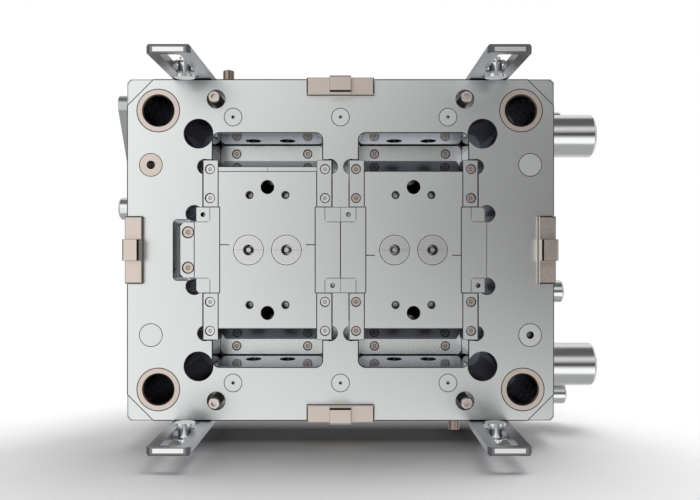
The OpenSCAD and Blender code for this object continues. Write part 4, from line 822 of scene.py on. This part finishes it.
def studio_world():
    """White to the camera; to the steel, a studio bright on the left, dim on the upper right."""
    world = bpy.data.worlds.new("studio")
    bpy.context.scene.world = world
    world.use_nodes = True
    tree = world.node_tree
    tree.nodes.clear()
    place = tree.nodes.new("ShaderNodeTexCoord")
    split = tree.nodes.new("ShaderNodeSeparateXYZ")
    tree.links.new(place.outputs["Generated"], split.inputs[0])
    x, y, z = [Val(tree, socket) for socket in split.outputs]

    # In front: a dark round middle that brightens outwards, dimmer low on the left and in the
    # upper right, dark overhead and at the far sides, grey straight below
    aside = x - DARK_MIDDLE_X
    drop = (z - DARK_MIDDLE_Z) * 1.7
    away = (aside * aside + drop * drop).root()
    front = (away * 3.0 - 0.55).least(BRIGHTEST).most(0.01)
    low_left = z.below(-0.06, 0.25) * (1 - x.above(0.05, 0.3))
    upper_right = z.above(0.24, 0.15) * (x.above(0.1, 0.4) * 0.34 + 0.08)
    overhead = z.above(0.68, 0.16)
    underneath = z.below(-0.72, 0.05)
    far_side = abs(x).above(0.86, 0.16)
    front = front * (1 - low_left * 0.2) * (1 - upper_right) * (1 - overhead * 0.85)
    front = (front * (1 - underneath) + underneath * 0.5) * (1 - far_side * 0.75)

    # Behind: white above, greyer below and more so on the left
    behind = y.above(0.3, 0.3) * (1 - underneath)
    back = 1 - z.below(0.55, 0.5) * (0.5 - x.above(0.0, 1.8) * 0.38)
    level = front * (1 - behind) + back * behind

    # For light that a matt surface scatters: from behind the mould, so its front casts no glow
    soft = (y.above(0.1, 0.5) * 1.5 + 0.05) * (1 + x * 0.03)
    studio = tree.nodes.new("ShaderNodeBackground")
    studio.inputs["Color"].default_value = (1, 1, 1, 1)
    paths = tree.nodes.new("ShaderNodeLightPath")
    seen = Val(tree, paths.outputs["Is Camera Ray"])
    matt = Val(tree, paths.outputs["Diffuse Depth"]).above(0.5, 0.1)
    strength = level * (1 - matt) + soft * matt
    strength = strength * (1 - seen) + seen
    tree.links.new(strength.socket, studio.inputs["Strength"])
    output = tree.nodes.new("ShaderNodeOutputWorld")
    tree.links.new(studio.outputs[0], output.inputs["Surface"])


def softbox(name, place, aim, size, power):
    """Soft area light that neither the camera nor the steel sees."""
    light = bpy.data.lights.new(name, "AREA")
    light.shape = "RECTANGLE"
    light.size, light.size_y = size
    light.energy = power
    made = bpy.data.objects.new(name, light)
    bpy.context.scene.collection.objects.link(made)
    made.location = place
    made.rotation_euler = (Vector(aim) - Vector(place)).to_track_quat("-Z", "Y").to_euler()
    made.visible_camera = False
    made.visible_glossy = False


FLOOR_HALF = 6.0
FLOOR_PAINT = (0.92, 0.92, 0.92)
FLOOR_BOUNCE = (0.2, 0.2, 0.2)


def pale_floor():
    """Matt floor with a painted shadow beneath the mould, fading to the backdrop's white behind the
    mould and far from it.
    """
    mesh = bpy.data.meshes.new("floor")
    ways = ((-1, -1), (1, -1), (1, 1), (-1, 1))
    corners = [(x * FLOOR_HALF, y * FLOOR_HALF, FLOOR_Z) for x, y in ways]
    mesh.from_pydata(corners, [], [(0, 1, 2, 3)])
    made = bpy.data.objects.new("floor", mesh)
    bpy.context.scene.collection.objects.link(made)
    finish = Finish("floor_paint", FLOOR_PAINT, 0.8, 0.0, Specular_IOR_Level=0.0)
    x, y, _ = finish.xyz()
    paths = finish.node("ShaderNodeLightPath")
    bounced = Val(finish.tree, paths.outputs["Diffuse Depth"]).above(0.5, 0.1)
    camera_ray = Val(finish.tree, paths.outputs["Is Camera Ray"])
    # Painted shadow: the floor darkened beneath the mould and just in front of it
    under_shadow = y.above(-0.315, 0.07) * abs(x).below(0.2, 0.1) * 0.86
    paint = finish.blend(under_shadow, FLOOR_PAINT, (0.0, 0.0, 0.0))
    finish.colour(finish.blend(bounced, paint, FLOOR_BOUNCE))
    beside = abs(x).above(0.34, 0.17)
    rear = (y - (1 - beside) * 0.2).above(-0.285, 0.27)
    far = (x * x + y * y).root().above(1.5, 1.2)
    glow = finish.node("ShaderNodeEmission", Strength=1.0)
    mixed = finish.node("ShaderNodeMixShader")
    finish.tree.links.new((rear.most(far) * camera_ray).socket, mixed.inputs[0])
    finish.tree.links.new(finish.shader.outputs[0], mixed.inputs[1])
    finish.tree.links.new(glow.outputs[0], mixed.inputs[2])
    finish.tree.links.new(mixed.outputs[0], finish.tree.nodes["Material Output"].inputs["Surface"])
    mesh.materials.append(finish.material)
    made.visible_glossy = False


studio_world()
pale_floor()
softbox("key", place=(0.3, 0.2, 1.45), aim=(0.0, -0.35, FLOOR_Z), size=(1.4, 1.1), power=18)

camera_data = bpy.data.cameras.new("camera")
camera_data.lens = CAMERA_LENS
camera = bpy.data.objects.new("camera", camera_data)
bpy.context.scene.collection.objects.link(camera)
camera.location = (CAMERA_X, FACE_Y - CAMERA_DISTANCE, 0)
camera.rotation_euler = (math.radians(90), 0, 0)
bpy.context.scene.camera = camera
bpy.context.scene.view_settings.view_transform = "Standard"
